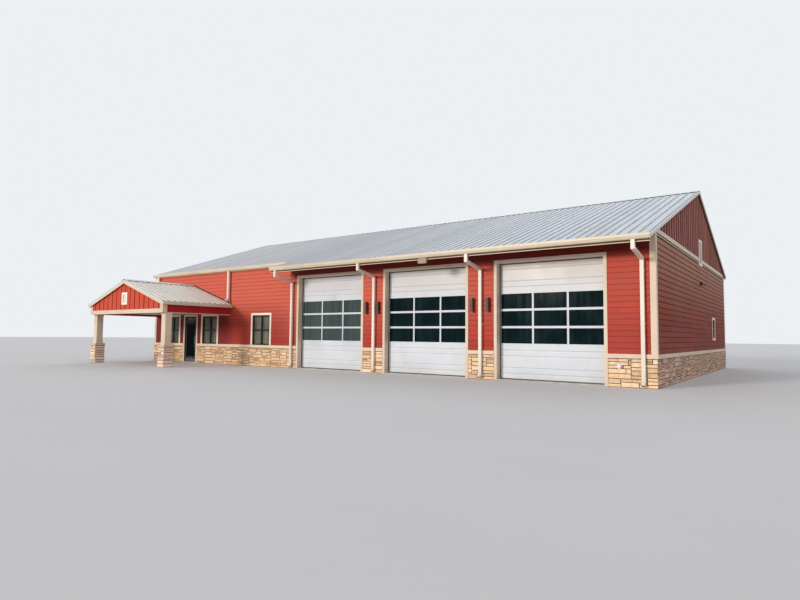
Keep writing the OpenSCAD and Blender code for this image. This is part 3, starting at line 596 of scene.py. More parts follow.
@dataclass(frozen=True)
class LedgeStone(Finish):
    """Split stone whose blocks each take a colour from the quarry's range."""

    quarry: tuple[tuple[float, Colour], ...] = ()
    seam: Colour = paint(140, 104, 72)
    speck: Colour = paint(112, 88, 64)
    # painted shade on the stones towards the offices, and where it ends
    near: Colour = UNCHANGED
    near_at: Span = (-3.5, -2.0)

    def dress(self, shader: Shader) -> None:
        """Wires the block's colour, its clouding, its specks and its rough face."""
        cloud = shader.noise(9.0, 5.0)
        drift = shader.times(shader.minus(cloud, 0.5), 0.35)
        colour = shader.ramp(shader.plus(shader.tone(), drift), *self.quarry)
        bands = shader.lines(6.0, 6.0, 55.0, 4.0)
        colour = shader.mix(shader.remap(bands, 0.5, 0.75, (0.0, 0.22)), colour, self.seam)
        # painted shade on the stones towards the offices
        close = shader.reach("X", self.near_at, (1.0, 0.0))
        colour = shader.mix(close, colour, self.near, "MULTIPLY")
        specks = shader.remap(shader.noise(160.0, 2.0), 0.55, 0.8, (0.0, 0.35))
        shader.feed("Base Color", shader.mix(specks, colour, self.speck))
        shader.feed("Roughness", shader.remap(cloud, 0.3, 0.7, (0.78, 0.95)))
        shader.bump(shader.plus(shader.noise(38.0, 6.0), shader.times(bands, 0.6)), 0.9, 0.006)


@dataclass(frozen=True)
class Grainy(Finish):
    """A matt mass with two colours, such as mortar, concrete or roof boards."""

    dark: Colour = (0.3, 0.3, 0.3, 1)
    light: Colour = (0.4, 0.4, 0.4, 1)
    size: float = 12.0
    depth: float = 0.003
    stretch: Triple = (1.0, 1.0, 1.0)

    def dress(self, shader: Shader) -> None:
        """Wires a cloudy colour and a sandy relief."""
        where = shader.stretched(*self.stretch)
        cloud = shader.noise(self.size, 6.0, where)
        colour = shader.ramp(cloud, (0.35, self.dark), (0.65, self.light))
        sand = shader.noise(self.size * 12, 3.0, where)
        colour = shader.mix(shader.remap(sand, 0.5, 0.8, (0.0, 0.35)), colour, self.dark)
        shader.feed("Base Color", colour)
        shader.bump(shader.plus(cloud, shader.times(sand, 0.4)), 0.8, self.depth)


@dataclass(frozen=True)
class SheetMetal(Finish):
    """Ribbed roofing: sheets of a width, each a shade of its own, with streaks down the slope."""

    dark: Colour = (0.4, 0.4, 0.4, 1)
    light: Colour = (0.5, 0.5, 0.5, 1)
    across: str = "X"
    sheet_w: float = 0.915
    first_rib: float = 0.0
    rib_pitch: float = 0.305
    # painted shade along the ribs: its strength and its colour
    rib_shade: float = 0.3
    rib_stain: Colour = (0.12, 0.134, 0.2, 1)
    stain: Colour = paint(128, 124, 116)
    # painted light towards the roof's left end (near) and painted shade towards its right end (far)
    near: Colour = UNCHANGED
    near_at: Span = (-10.0, 2.0)
    near_ribs: float = 1.0
    far: Colour = UNCHANGED
    far_at: Span = (0.0, 12.0)

    def dress(self, shader: Shader) -> None:
        """Wires the sheets' shades, painted shade along the ribs, painted light and shade along the roof,
        the streaks and a faint oil-canning.
        """
        across = shader.axis(self.across)
        own = shader.add("TexWhiteNoise")
        own.noise_dimensions = "1D"
        sheet = shader.maths("FLOOR", shader.maths("DIVIDE", across, self.sheet_w))
        shader.drive(own.inputs["W"], sheet)
        scale = (9.0, 0.5, 0.5) if self.across == "X" else (0.5, 9.0, 0.5)
        streaks = shader.lines(*scale, 5.0)
        shade = shader.plus(shader.times(own.outputs["Value"], 0.35), shader.times(streaks, 0.65))
        colour = shader.ramp(shade, (0.3, self.dark), (0.7, self.light))
        patches = shader.remap(shader.noise(0.7, 6.0), 0.55, 0.8, (0.0, 0.1))
        colour = shader.mix(patches, colour, self.stain)
        # painted shade along each rib's foot, weaker towards the roof's left end where near_ribs is set
        place = shader.through(shader.minus(across, self.first_rib - self.rib_pitch / 2), self.rib_pitch)
        off = shader.maths("ABSOLUTE", shader.minus(place, 0.5))
        shade_mask = shader.remap(off, 0.1, 0.2, (self.rib_shade, 0.0))
        shade_mask = shader.times(shade_mask, shader.reach("X", self.near_at, (self.near_ribs, 1.0)))
        colour = shader.mix(shade_mask, colour, self.rib_stain)
        # painted light towards the roof's left end, painted shade towards its right end
        close = shader.reach("X", self.near_at, (1.0, 0.0))
        colour = shader.mix(close, colour, self.near, "MULTIPLY")
        colour = shader.mix(shader.reach("X", self.far_at), colour, self.far, "MULTIPLY")
        shader.feed("Base Color", colour)
        wear = shader.remap(streaks, 0.3, 0.7, (self.rough - 0.08, self.rough + 0.1))
        shader.feed("Roughness", wear)
        shader.bump(shader.noise(2.2, 2.0), 0.35, 0.01)


@dataclass(frozen=True)
class Pane(Finish):
    """Tinted glass, slightly uneven, with a patchy film of dust."""

    tint: Colour = (0.02, 0.025, 0.03, 1)
    haze: Colour = (0.1, 0.11, 0.12, 1)
    alpha: float = 1.0
    wave: float = 0.004

    def dress(self, shader: Shader) -> None:
        """Wires the tint, the dust film and the uneven surface."""
        shader.bsdf.inputs["Alpha"].default_value = self.alpha
        film = shader.times(shader.noise(1.3, 4.0), shader.lines(6.0, 6.0, 0.4))
        colour = shader.mix(shader.remap(film, 0.12, 0.45, (0.0, 1.0)), self.tint, self.haze)
        shader.feed("Base Color", self.tinted(shader, colour))
        shader.feed("Roughness", shader.remap(film, 0.1, 0.5, (self.rough, self.rough + 0.12)))
        shader.bump(shader.noise(1.8, 2.0), 0.5, self.wave)

    def tinted(self, shader: Shader, colour: Socket) -> Socket:
        """A pane's own shade: none here."""
        return colour


@dataclass(frozen=True)
class WindowPane(Pane):
    """Window glass, darker in the end walls, where no blinds hang behind it."""

    unlit: Colour = (0.004, 0.004, 0.005, 1)
    ends_at: Span = (12.95, 13.0)

    def tinted(self, shader: Shader, colour: Socket) -> Socket:
        """Darkens the panes of both end walls."""
        ends = shader.remap(shader.maths("ABSOLUTE", shader.axis("X")), *self.ends_at, (0.0, 1.0))
        return shader.mix(ends, colour, self.unlit)


@dataclass(frozen=True)
class TwoPanes(Pane):
    """Door glass whose first door has paler, streaked panes as painted reflection."""

    paler: Colour = (0.06, 0.085, 0.083, 1)
    until: Span = (2.3, 2.4)

    def tinted(self, shader: Shader, colour: Socket) -> Socket:
        """Makes the panes paler, in streaks, up to a place along the front, as painted reflection.

        Args:
            shader: the material being wired.
            colour: the glass's colour.

        Returns:
            The glass's colour in both batches.
        """
        first = shader.reach("X", self.until, (1.0, 0.0))
        streaks = shader.remap(shader.lines(7.0, 7.0, 0.3), 0.35, 0.65, (0.6, 1.0))
        return shader.mix(shader.times(first, streaks), colour, self.paler)


@dataclass(frozen=True)
class Metal(Finish):
    """Bare or coated metal with a fine brushing and small marks."""

    dark: Colour = (0.3, 0.3, 0.3, 1)
    light: Colour = (0.5, 0.5, 0.5, 1)
    brushing: Triple = (4.0, 4.0, 160.0)

    def dress(self, shader: Shader) -> None:
        """Wires the brushing and the marks."""
        brushed = shader.lines(*self.brushing, 4.0)
        marks = shader.noise(22.0, 5.0)
        colour = shader.ramp(marks, (0.35, self.dark), (0.65, self.light))
        colour = shader.mix(shader.remap(brushed, 0.4, 0.7, (0.0, 0.25)), colour, self.dark)
        shader.feed("Base Color", colour)
        shader.feed("Roughness", shader.remap(marks, 0.3, 0.7, (self.rough - 0.08, self.rough + 0.1)))
        shader.bump(brushed, 0.4, 0.0006)


SIDING = FadedBoards(
    "red_boards", "red_siding", rough=0.6, gloss=0.2, dark=paint(150, 44, 32), light=paint(172, 54, 40),
    by_tone=0.25, dust_top=1.35, dust_amount=0.1, lap=0.1777, lap_line=0.34, fade_up=(1.3, 3.0))
# painted shade: a darker, browner copy of the wall boards for the end walls, with stronger painted shade
# under the laps
SHADED_END_SIDING = FadedBoards(
    "red_end_boards", "red_siding", rough=0.65, gloss=0.08, dark=paint(118, 50, 36),
    light=paint(142, 66, 48), by_tone=0.25, dust_top=1.35, dust_amount=0.1, lap=0.1777, lap_line=0.9,
    faded=(0.38, 0.19, 0.125, 1), fade_up=(2.2, 4.4), least=0.85, gloom=0.0, office=0.0, porch=0.0)
# painted shade: the gable panel behind the battens, darker than the boards
SHADED_PANEL = Coat(
    "red_gable_panel", "red_siding", rough=0.65, gloss=0.1, dark=paint(62, 20, 17),
    light=paint(78, 26, 22), grain=(45.0, 45.0, 1.5))
BATTENS = Coat(
    "red_battens", "red_siding", rough=0.6, gloss=0.2, dark=paint(188, 68, 46), light=paint(208, 82, 56),
    by_tone=0.3, grain=(45.0, 45.0, 1.5))
# painted light: the end gables' battens and frieze, paler than the panel behind them
LIT_END_BATTENS = replace(
    BATTENS, name="red_end_battens", dark=paint(176, 112, 102), light=paint(200, 138, 126), by_tone=0.4)
BEAM_PAINT = Coat(
    "red_beam_paint", "red_siding", rough=0.6, gloss=0.15, dark=paint(146, 26, 28),
    light=paint(164, 34, 34), patch=0.9)
# the soffit's own dark red, darkened further as painted shade under the eaves
SOFFIT = Coat(
    "dark_red_soffit", "dark_red_soffit", rough=0.6, gloss=0.2, dark=paint(78, 14, 10),
    light=paint(96, 20, 15), by_tone=0.3)
TRIM = Coat(
    "cream_boards", "cream_trim", rough=0.5, gloss=0.4, dark=paint(204, 184, 162),
    light=paint(222, 205, 186), patch=0.9, by_tone=0.2, grain=(3.0, 3.0, 26.0), grain_depth=0.0005,
    dust_amount=0.3, dust_top=0.4)
RAIN_METAL = Coat(
    "cream_gutter_metal", "cream_metal", rough=0.4, gloss=0.4, dark=paint(197, 181, 159),
    light=paint(215, 200, 180), grain=(2.0, 2.0, 9.0), grain_depth=0.0004, dust_amount=0.35)
PIPE_METAL = replace(
    RAIN_METAL, name="pale_pipe_metal", dark=paint(212, 198, 185), light=paint(232, 220, 208),
    grain=(9.0, 9.0, 2.0))
EAVE_SHADE = Coat(
    "shaded_fascia", "cream_trim", rough=0.8, gloss=0.1, dark=paint(88, 70, 52), light=paint(108, 88, 66))
# painted shade: the rake's underside painted the brown it shows in shade
SHADED_RAKE_UNDER = Coat(
    "rake_underside", "dark_red_soffit", rough=0.7, gloss=0.2, dark=paint(84, 66, 54),
    light=paint(108, 88, 72))
WINDOW_PAINT = Coat(
    "window_boards", "cream_trim", rough=0.5, gloss=0.4, dark=paint(218, 198, 178),
    light=paint(238, 222, 204), patch=0.9, grain=(60.0, 60.0, 2.0), dust_amount=0.1)
FLOOD_LENS = Coat(
    "flood_lens", "lamp_metal", rough=0.3, gloss=0.6, dark=paint(104, 102, 108),
    light=paint(134, 130, 136))
LIGHT_BODY = Coat(
    "eave_light_body", "vent_white", rough=0.5, gloss=0.3, dark=paint(140, 124, 106),
    light=paint(162, 146, 126))
DOOR_PAINT = DoorPaint(
    "white_door_paint", "white_door", rough=0.4, gloss=0.4, dark=paint(190, 195, 203),
    light=paint(205, 211, 219), patch=1.1, grain=(0.6, 0.6, 8.0), grain_depth=0.0008, streak=0.02,
    dust_amount=0.2, dust_top=0.4)
VENT_PAINT = Coat(
    "vent_paint", "vent_white", rough=0.5, dark=paint(230, 224, 216), light=paint(244, 239, 232),
    grain=(6.0, 6.0, 30.0))
FRAME_COAT = Coat(
    "black_frame_coating", "black_frame", rough=0.4, gloss=0.2, dark=paint(14, 14, 15),
    light=paint(24, 24, 25), patch=2.0, grain=(60.0, 60.0, 3.0), grain_depth=0.0003, dust_amount=0.15,
    dust_top=0.4)
RUBBER = Coat(
    "black_seal_rubber", "black_frame", rough=0.75, gloss=0.2, dark=paint(14, 14, 14),
    light=paint(26, 26, 25), dust_amount=0.35, dust_top=0.3)
FOAM = Coat(
    "dark_closure_foam", "black_frame", rough=0.9, dark=paint(34, 32, 30), light=paint(52, 49, 45),
    grain=(80.0, 80.0, 80.0))
LAMP_COAT = Coat(
    "bronze_lamp_coating", "lamp_metal", rough=0.4, metal=0.4, dark=paint(66, 53, 47),
    light=paint(66, 56, 48), patch=3.0)
# the pipes' dark red inside, darkened further as painted shade in their mouths
PRIMER_AND_SHADE = Coat(
    "dark_red_primer", "cream_metal", rough=0.7, dark=paint(96, 26, 20), light=paint(124, 38, 28),
    patch=6.0, dust_amount=0.2, dust_top=0.2)
# painted shadow: dark strips in the gaps under the gable bands, beside the battens and along the portico's
# wall flashing
SHADOW_RECESS = Coat(
    "dark_recess", "red_siding", rough=0.85, gloss=0.1, dark=paint(46, 18, 14), light=paint(64, 28, 22))
BLINDS = Coat(
    "window_blinds", "vent_white", rough=0.7, dark=paint(176, 170, 154), light=paint(196, 191, 176),
    by_tone=0.3)
# near darkens the stones towards the offices as painted shade
STONE = LedgeStone("ledge_stone", "stone", rough=0.85, gloss=0.2, near=(0.86, 0.82, 0.78, 1), quarry=(
    (0.0, paint(176, 152, 128)), (0.16, paint(236, 204, 166)), (0.32, paint(228, 188, 148)),
    (0.46, paint(244, 220, 190)), (0.6, paint(206, 170, 132)), (0.74, paint(244, 224, 194)),
    (0.87, paint(218, 180, 146)), (1.0, paint(188, 168, 144))))
# painted shade: a darker copy of the stone for the end walls
SHADED_END_STONE = LedgeStone("end_stone", "stone", rough=0.9, gloss=0.1, quarry=(
    (0.0, paint(148, 126, 112)), (0.16, paint(208, 174, 148)), (0.32, paint(196, 158, 132)),
    (0.46, paint(220, 190, 168)), (0.6, paint(182, 148, 128)), (0.74, paint(224, 198, 178)),
    (0.87, paint(200, 164, 146)), (1.0, paint(166, 146, 134))))
PIER_STONE = LedgeStone("pier_stone", "stone", rough=0.85, gloss=0.2, quarry=(
    (0.0, paint(190, 160, 142)), (0.25, paint(246, 224, 200)), (0.5, paint(214, 180, 160)),
    (0.75, paint(250, 234, 214)), (1.0, paint(200, 176, 162))))
MORTAR = Grainy(
    "stone_mortar", "stone", rough=0.95, gloss=0.1, dark=paint(62, 42, 30), light=paint(90, 64, 46),
    size=16.0, depth=0.004)
CONCRETE = Grainy(
    "floor_concrete", "concrete", rough=0.8, dark=paint(168, 165, 157), light=paint(192, 189, 181),
    size=3.0, depth=0.001)
PALE_FLOOR = Grainy(
    "pale_floor", "concrete", rough=0.85, gloss=0.2, dark=paint(211, 211, 213),
    light=paint(213, 213, 215), size=0.4, depth=0.0)
DECKING = Grainy(
    "roof_boards", "deck_wood", rough=0.8, dark=paint(140, 112, 82), light=paint(172, 142, 106), size=4.0,
    depth=0.001, stretch=(1.0, 8.0, 8.0))
FLASHING = Metal(
    "roof_flashing", "roof_metal", rough=0.42, dark=paint(190, 192, 192), light=paint(210, 211, 209),
    brushing=(6.0, 6.0, 6.0))
# near and far paint light on the roof's left part and shade on its right part
ROOFING = SheetMetal(
    "ribbed_roofing", "roof_metal", rough=0.45, dark=paint(186, 190, 196), light=paint(202, 206, 211),
    first_rib=-2.3575, near=(1.24, 1.21, 1.17, 1), near_ribs=0.5, far=(0.72, 0.78, 0.83, 1))
OFFICE_ROOFING = replace(ROOFING, name="office_roofing", first_rib=-13.1926, far=UNCHANGED)
BACK_ROOFING = replace(
    ROOFING, name="back_roofing", first_rib=-13.115, near=UNCHANGED, near_ribs=1.0, far=UNCHANGED)
PORTICO_ROOFING = SheetMetal(
    "portico_roofing", "roof_metal", rough=0.45, across="Y", first_rib=-9.915, dark=paint(222, 217, 209),
    light=paint(245, 239, 231), rib_shade=0.6, rib_stain=(0.26, 0.22, 0.18, 1))
CAP_STONE = Grainy(
    "pier_cap_stone", "stone", rough=0.8, gloss=0.2, dark=paint(184, 164, 140),
    light=paint(210, 192, 168), size=10.0, depth=0.002)
BAY_GLASS = TwoPanes(
    "bay_door_glass", "glass", rough=0.05, gloss=0.05, tint=paint(4, 18, 22), haze=paint(16, 38, 42))
ENTRY_GLASS = Pane(
    "entry_glass", "glass", rough=0.12, gloss=0.02, tint=paint(1, 4, 7), haze=paint(5, 10, 15))
OFFICE_GLASS = WindowPane(
    "office_glass", "glass", rough=0.04, gloss=0.2, tint=paint(78, 80, 72), haze=paint(136, 134, 120),
    alpha=0.5)
HANDLE = Metal(
    "brushed_handle", "handle_metal", rough=0.35, metal=1.0, dark=paint(84, 84, 86),
    light=paint(120, 120, 122))
ALUMINIUM = Metal(
    "cast_aluminium", "hose_metal", rough=0.5, metal=0.6, dark=paint(166, 163, 172),
    light=paint(204, 200, 210), brushing=(20.0, 20.0, 20.0))
SCREW_HEADS = Metal(
    "screw_heads", "roof_metal", rough=0.4, metal=0.6, dark=paint(130, 132, 134),
    light=paint(168, 170, 172))
MESH = Coat(
    "vent_mesh", "vent_white", rough=0.8, dark=paint(204, 194, 180), light=paint(222, 213, 200),
    grain=(400.0, 400.0, 400.0), grain_depth=0.001)
LENS = Metal(
    "frosted_lens", "vent_white", rough=0.25, dark=paint(216, 214, 204), light=paint(238, 236, 228),
    brushing=(30.0, 30.0, 30.0))

NODE_FINISHES: dict[str, Finish] = {
    "stone": MORTAR, "red_siding": SIDING, "cream_trim": TRIM, "white_door": DOOR_PAINT,
    "black_frame": FRAME_COAT, "handle_metal": HANDLE, "deck_wood": DECKING, "dark_red_soffit": SOFFIT,
    "roof_metal": ROOFING, "cream_metal": RAIN_METAL, "vent_white": VENT_PAINT, "lamp_metal": LAMP_COAT,
    "hose_metal": ALUMINIUM, "concrete": CONCRETE, "glass": BAY_GLASS}
NODE_OVERRIDES: dict[str, Finish] = {
    "window_glass": OFFICE_GLASS, "entry_door_glass": ENTRY_GLASS, "portico_roof_panels": PORTICO_ROOFING,
    "roof_panels_office": OFFICE_ROOFING, "roof_panels_back": BACK_ROOFING, "ridge_caps": FLASHING,
    "downspouts": PIPE_METAL, "eave_light": LIGHT_BODY, "rake_trim": TRIM, "window_trim": WINDOW_PAINT,
    "portico_gable": BATTENS, "portico_beams": BEAM_PAINT,
    "left_gable_wall": SHADED_PANEL, "right_gable_wall": SHADED_PANEL}


class Piece:
    """One piece being made in bmesh, in the axes of the surface that carries it."""

    def __init__(self, name: str, finish: Finish, place: Matrix | None = None,
                 body: str = "building") -> None:
        """Starts an empty piece.

        Args:
            name: the finished object's name.
            finish: what it is made of.
            place: from the piece's own (along, out, up) axes to the building's frame.
            body: the body that it moves with.
        """
        self.name = name
        self.finish = finish
        self.place = Matrix.Identity(4) if place is None else place
        self.body = body
        self.mesh = bmesh.new()
        self.tone = self.mesh.faces.layers.float.new("tone")

    def block(self, low: Sequence[float], high: Sequence[float],
              tone: float = 0.5) -> list[bmesh.types.BMVert]:
        """Adds a block between two corners.

        Args:
            low, high: the corners.
            tone: the tone that its faces carry.

        Returns:
            The block's vertices.
        """
        bottom, top = Vector(low), Vector(high)
        matrix = Matrix.Translation((bottom + top) / 2) @ Matrix.Diagonal((*(top - bottom), 1))
        verts = bmesh.ops.create_cube(self.mesh, size=1, matrix=matrix)["verts"]
        for vert in verts:
            for face in vert.link_faces:
                face[self.tone] = tone
        return verts

    def wedge(self, along: Span, up: Span, out: Span, tone: float = 0.5) -> None:
        """Adds a board whose face stands out further at one edge than at the other.

        Args:
            along, up: the board's ends and edges.
            out: how far its face stands out at its foot and at its head.
            tone: the tone that its faces carry.
        """
        verts = self.block((along[0], 0, up[0]), (along[1], out[0], up[1]), tone)
        middle = sum(up) / 2
        for vert in verts:
            if vert.co.z > middle and vert.co.y > 0:
                vert.co.y = out[1]

    def ring(self, along: Span, up: Span, width: float, out: Span) -> None:
        """Adds four bars round the inside of a rectangle.

        Args:
            along, up: the rectangle's ends and edges.
            width: the bars' width.
            out: where their back and their face stand.
        """
        self.block((along[0], out[0], up[0]), (along[1], out[1], up[0] + width))
        self.block((along[0], out[0], up[1] - width), (along[1], out[1], up[1]))
        for start in (along[0], along[1] - width):
            self.block((start, out[0], up[0] + width), (start + width, out[1], up[1] - width))

    def disc(self, centre: Sequence[float], radius: float, depth: float, turn: Matrix | None = None,
             top: float | None = None, sides: int = 24) -> None:
        """Adds a round plate or a cone, its axis up unless a turn is given.

        Args:
            centre: its middle.
            radius, depth: its radius at the foot and its height.
            turn: how its axis is turned.
            top: its radius at the head, if that is another.
            sides: how many sides make it round.
        """
        matrix = Matrix.Translation(Vector(centre)) @ (Matrix.Identity(4) if turn is None else turn)
        bmesh.ops.create_cone(self.mesh, cap_ends=True, segments=sides, radius1=radius,
                              radius2=radius if top is None else top, depth=depth, matrix=matrix)

    def prism(self, outline: Sequence[Span], start: float, end: float) -> None:
        """Adds an (out, up) outline run along.

        Args:
            outline: the outline's corners.
            start, end: where it starts and ends.
        """
        corners = [self.mesh.verts.new((start, out, up)) for out, up in outline]
        face = self.mesh.faces.new(corners)
        grown = bmesh.ops.extrude_face_region(self.mesh, geom=[face])["geom"]
        moved = [item for item in grown if isinstance(item, bmesh.types.BMVert)]
        bmesh.ops.translate(self.mesh, vec=(end - start, 0, 0), verts=moved)

    def bevel(self, width: float, segments: int = 1) -> None:
        """Rounds every edge made so far."""
        bmesh.ops.bevel(self.mesh, geom=self.mesh.edges[:], offset=width, offset_type="OFFSET",
                        segments=segments, profile=0.5, affect="EDGES", material=-1,
                        clamp_overlap=True)

    def done(self, smooth: bool = False) -> None:
        """Turns the mesh into a finished object that rides on its body.

        Args:
            smooth: whether round faces are shaded smooth.
        """
        bmesh.ops.transform(self.mesh, matrix=self.place, verts=self.mesh.verts)
        bmesh.ops.recalc_face_normals(self.mesh, faces=self.mesh.faces)
        data = bpy.data.meshes.new(self.name)
        self.mesh.to_mesh(data)
        self.mesh.free()
        if smooth:
            data.shade_smooth()
            data.set_sharp_from_angle(angle=math.radians(35))
        obj = bpy.data.objects.new(self.name, data)
        bpy.context.scene.collection.objects.link(obj)
        data.materials.append(self.finish.material())
        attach(obj, self.body)
        LOG.info("%s: %d faces", self.name, len(data.polygons))


@dataclass
class Cladding:
    """The red lap boards of the walls and the battens of the gables."""

    plan: Plan
    exposure: float = 0.1777
    butt: float = 0.018
    tip: float = 0.004
    board: float = 3.66
    first_cut: float = 0.2
    joint: float = 0.004
    shortest: float = 0.01
    eave_clear: float = 0.02
    batten_step: float = 0.406
    batten_w: float = 0.058
    batten_out: float = 0.018
    batten_edge: float = 0.002
    gable_out: float = 0.034
    gable_inset: float = 0.45
    # the strip of painted shadow beside each batten: its width and how far it stands out
    seam_w: float = 0.03
    seam_out: float = 0.003
    band_drops: Quad = (0.095, 0.07, 0.045, 0.0)
    strip_out: float = 0.022
    recess_out: float = 0.006
    frieze_out: Span = (0.0, 0.006)
    frieze_drop: float = 0.05
    soffit_out: Span = (0.006, 0.098)
    soffit_drop: float = 0.009
    lay_gap: float = 0.001

    def gaps(self, side: Side) -> list[Gap]:
        """The trim, windows and doors that the boards of a side stop at.

        Args:
            side: which outside face.

        Returns:
            The gaps.
        """
        plan = self.plan
        if side in ENDS:
            middle, width, sill, height = plan.side_win
            return [opening(middle, width, sill - plan.trim_w, sill + height), self.vent_gap()]
        head = plan.cap_top + plan.win_h
        found = [opening(x, plan.win_w, plan.cap_top, head) for x in plan.windows]
        if side is Side.FRONT:
            found += [opening(x + plan.bay_w / 2, plan.bay_w, 0, plan.bay_h) for x in plan.bay_left]
            found.append(opening(plan.entry_mid, plan.entry_w, 0, plan.entry_h))
        return found

    def vent_gap(self) -> Gap:
        """The place of a gable's vent."""
        middle, width, foot, height = self.plan.vent
        return opening(middle, width, foot, foot + height, trim=0.0)

    def courses(self, side: Side, start: float, end: float, head: float) -> None:
        """Lays the lap boards of one side, from the stone's cap to a height.

        Args:
            side: which outside face.
            start, end: where the boards start and end along it.
            head: the height that they reach.
        """
        finish = SHADED_END_SIDING if side in ENDS else SIDING
        piece = Piece(f"lap_boards_{side.word}", finish, self.plan.wall(side))
        dice = random.Random(side.name)
        gaps = self.gaps(side)
        foot = self.plan.cap_top
        while foot < head - self.shortest:
            top = min(foot + self.exposure, head)
            first = start - dice.uniform(self.first_cut, self.board)
            count = math.ceil((end - first) / self.board)
            joints = [first + step * self.board for step in range(count + 1)]
            tones = [dice.random() for _ in joints]
            edges = {z for gap in gaps for z in (gap.foot, gap.head) if foot < z < top}
            levels = sorted({foot, top} | edges)
            for low, high in zip(levels, levels[1:]):
                beside = [gap for gap in gaps if gap.foot < high - 1e-4 and gap.head > low + 1e-4]
                out = (self.face(low - foot), self.face(high - foot))
                for run in free_runs(start, end, beside):
                    self.boards(piece, run, (low, high), out, joints, tones)
            foot = top
        piece.done()

    def face(self, height: float) -> float:
        """How far a board's face stands out at a height above its foot."""
        return self.butt + (self.tip - self.butt) * height / self.exposure

    def boards(self, piece: Piece, run: Span, up: Span, out: Span, joints: Sequence[float],
               tones: Sequence[float]) -> None:
        """Adds one run of boards, cut at the joints.

        Args:
            piece: the piece that gathers the boards.
            run: where the run starts and ends.
            up: the boards' lower and upper edge.
            out: how far their face stands out at those edges.
            joints: where the boards of this course meet.
            tones: the tone of the board after each joint.
        """
        for left, right, tone in zip(joints, joints[1:], tones):
            low = max(run[0], left + self.joint / 2)
            high = min(run[1], right - self.joint / 2)
            if high - low > self.shortest:
                piece.wedge((low, high), up, out, tone)

    def battens(self, name: str, finish: Finish, place: Matrix, span: Span, foot: float,
                top: Callable[[float], float], gap: Gap, middle: float, out: float) -> None:
        """Sets upright battens on a gable, each cut to the roof's slope, with a dark strip of painted shadow
        beside it.

        Args:
            name: the piece's name.
            finish: their paint.
            place: the gable's axes.
            span: where the first and last batten may stand along it.
            foot: the height that they stand on.
            top: the roof's height at a place along the gable.
            gap: the vent that the battens stop at.
            middle: a place along the gable that has a batten.
            out: how far they stand out.
        """
        piece = Piece(name, finish, place)
        shadow_strips = Piece(f"{name}_seams", SHADOW_RECESS, place)
        dice = random.Random(name)
        first = math.ceil((span[0] - middle) / self.batten_step)
        last = math.floor((span[1] - middle) / self.batten_step)
        for step in range(first, last + 1):
            left = middle + step * self.batten_step - self.batten_w / 2
            right = left + self.batten_w
            head = min(top(left), top(right))
            crossed = gap.start < right and gap.end > left
            upright = [Gap(gap.foot, gap.head, left, right)] if crossed else []
            for low, high in free_runs(foot, head, upright):
                verts = piece.block((left, 0, low), (right, out, high), dice.random())
                # a strip of painted shadow beside each batten
                seam = shadow_strips.block((right, 0, low), (right + self.seam_w, self.seam_out, high))
                if high == head:
                    for vert in (*verts, *seam):
                        if vert.co.z > high - 1e-4:
                            vert.co.z = top(vert.co.x)
        piece.bevel(self.batten_edge)
        shadow_strips.done()
        piece.done()

    def band(self, side: Side) -> None:
        """The light drip strip under a gable's band, between two shadow gaps."""
        plan = self.plan
        strip = Piece(f"band_strip_{side.word}", TRIM, plan.wall(side))
        recess = Piece(f"band_recess_{side.word}", SHADOW_RECESS, plan.wall(side))
        levels = [plan.band_foot - drop for drop in self.band_drops]
        start, end = plan.front + plan.corner_w, plan.back - plan.corner_w
        for low, high in free_runs(start, end, [self.vent_gap()]):
            recess.block((low, 0, levels[0]), (high, self.recess_out, levels[1]))
            strip.block((low, 0, levels[1]), (high, self.strip_out, levels[2]))
            recess.block((low, 0, levels[2]), (high, self.recess_out, levels[3]))
        strip.done()
        recess.done()

    def frieze(self, side: Side) -> None:
        """The board at the head of a gable and the soffit under the roof past the wall."""
        plan = self.plan
        for name, finish, out, drop in (("gable_frieze", LIT_END_BATTENS, self.frieze_out, self.frieze_drop),
                                        ("rake_soffit", SHADED_RAKE_UNDER, self.soffit_out, self.soffit_drop)):
            piece = Piece(f"{name}_{side.word}", finish, plan.wall(side))
            for low, high in ((plan.front, plan.middle), (plan.middle, plan.back)):
                for vert in piece.block((low, out[0], 0), (high, out[1], 1)):
                    down = self.lay_gap if vert.co.z > 0.5 else drop
                    vert.co.z = plan.under_rake(vert.co.x) - down
            piece.done()

    def build(self) -> None:
        """Clads the four walls and both gables."""
        plan = self.plan
        inner = plan.corner_w
        for side in LONG_SIDES:
            self.courses(side, inner - plan.end, plan.end - inner,
                         plan.under_deck(plan.front) - self.eave_clear)
        for side in ENDS:
            self.courses(side, plan.front + inner, plan.back - inner, plan.band_foot - self.band_drops[0])
            span = (plan.front + self.gable_inset, plan.back - self.gable_inset)
            self.battens(f"gable_battens_{side.word}", LIT_END_BATTENS, plan.wall(side), span, plan.band_top,
                         plan.under_rake, self.vent_gap(), plan.vent[0], self.gable_out)
            self.band(side)
            self.frieze(side)


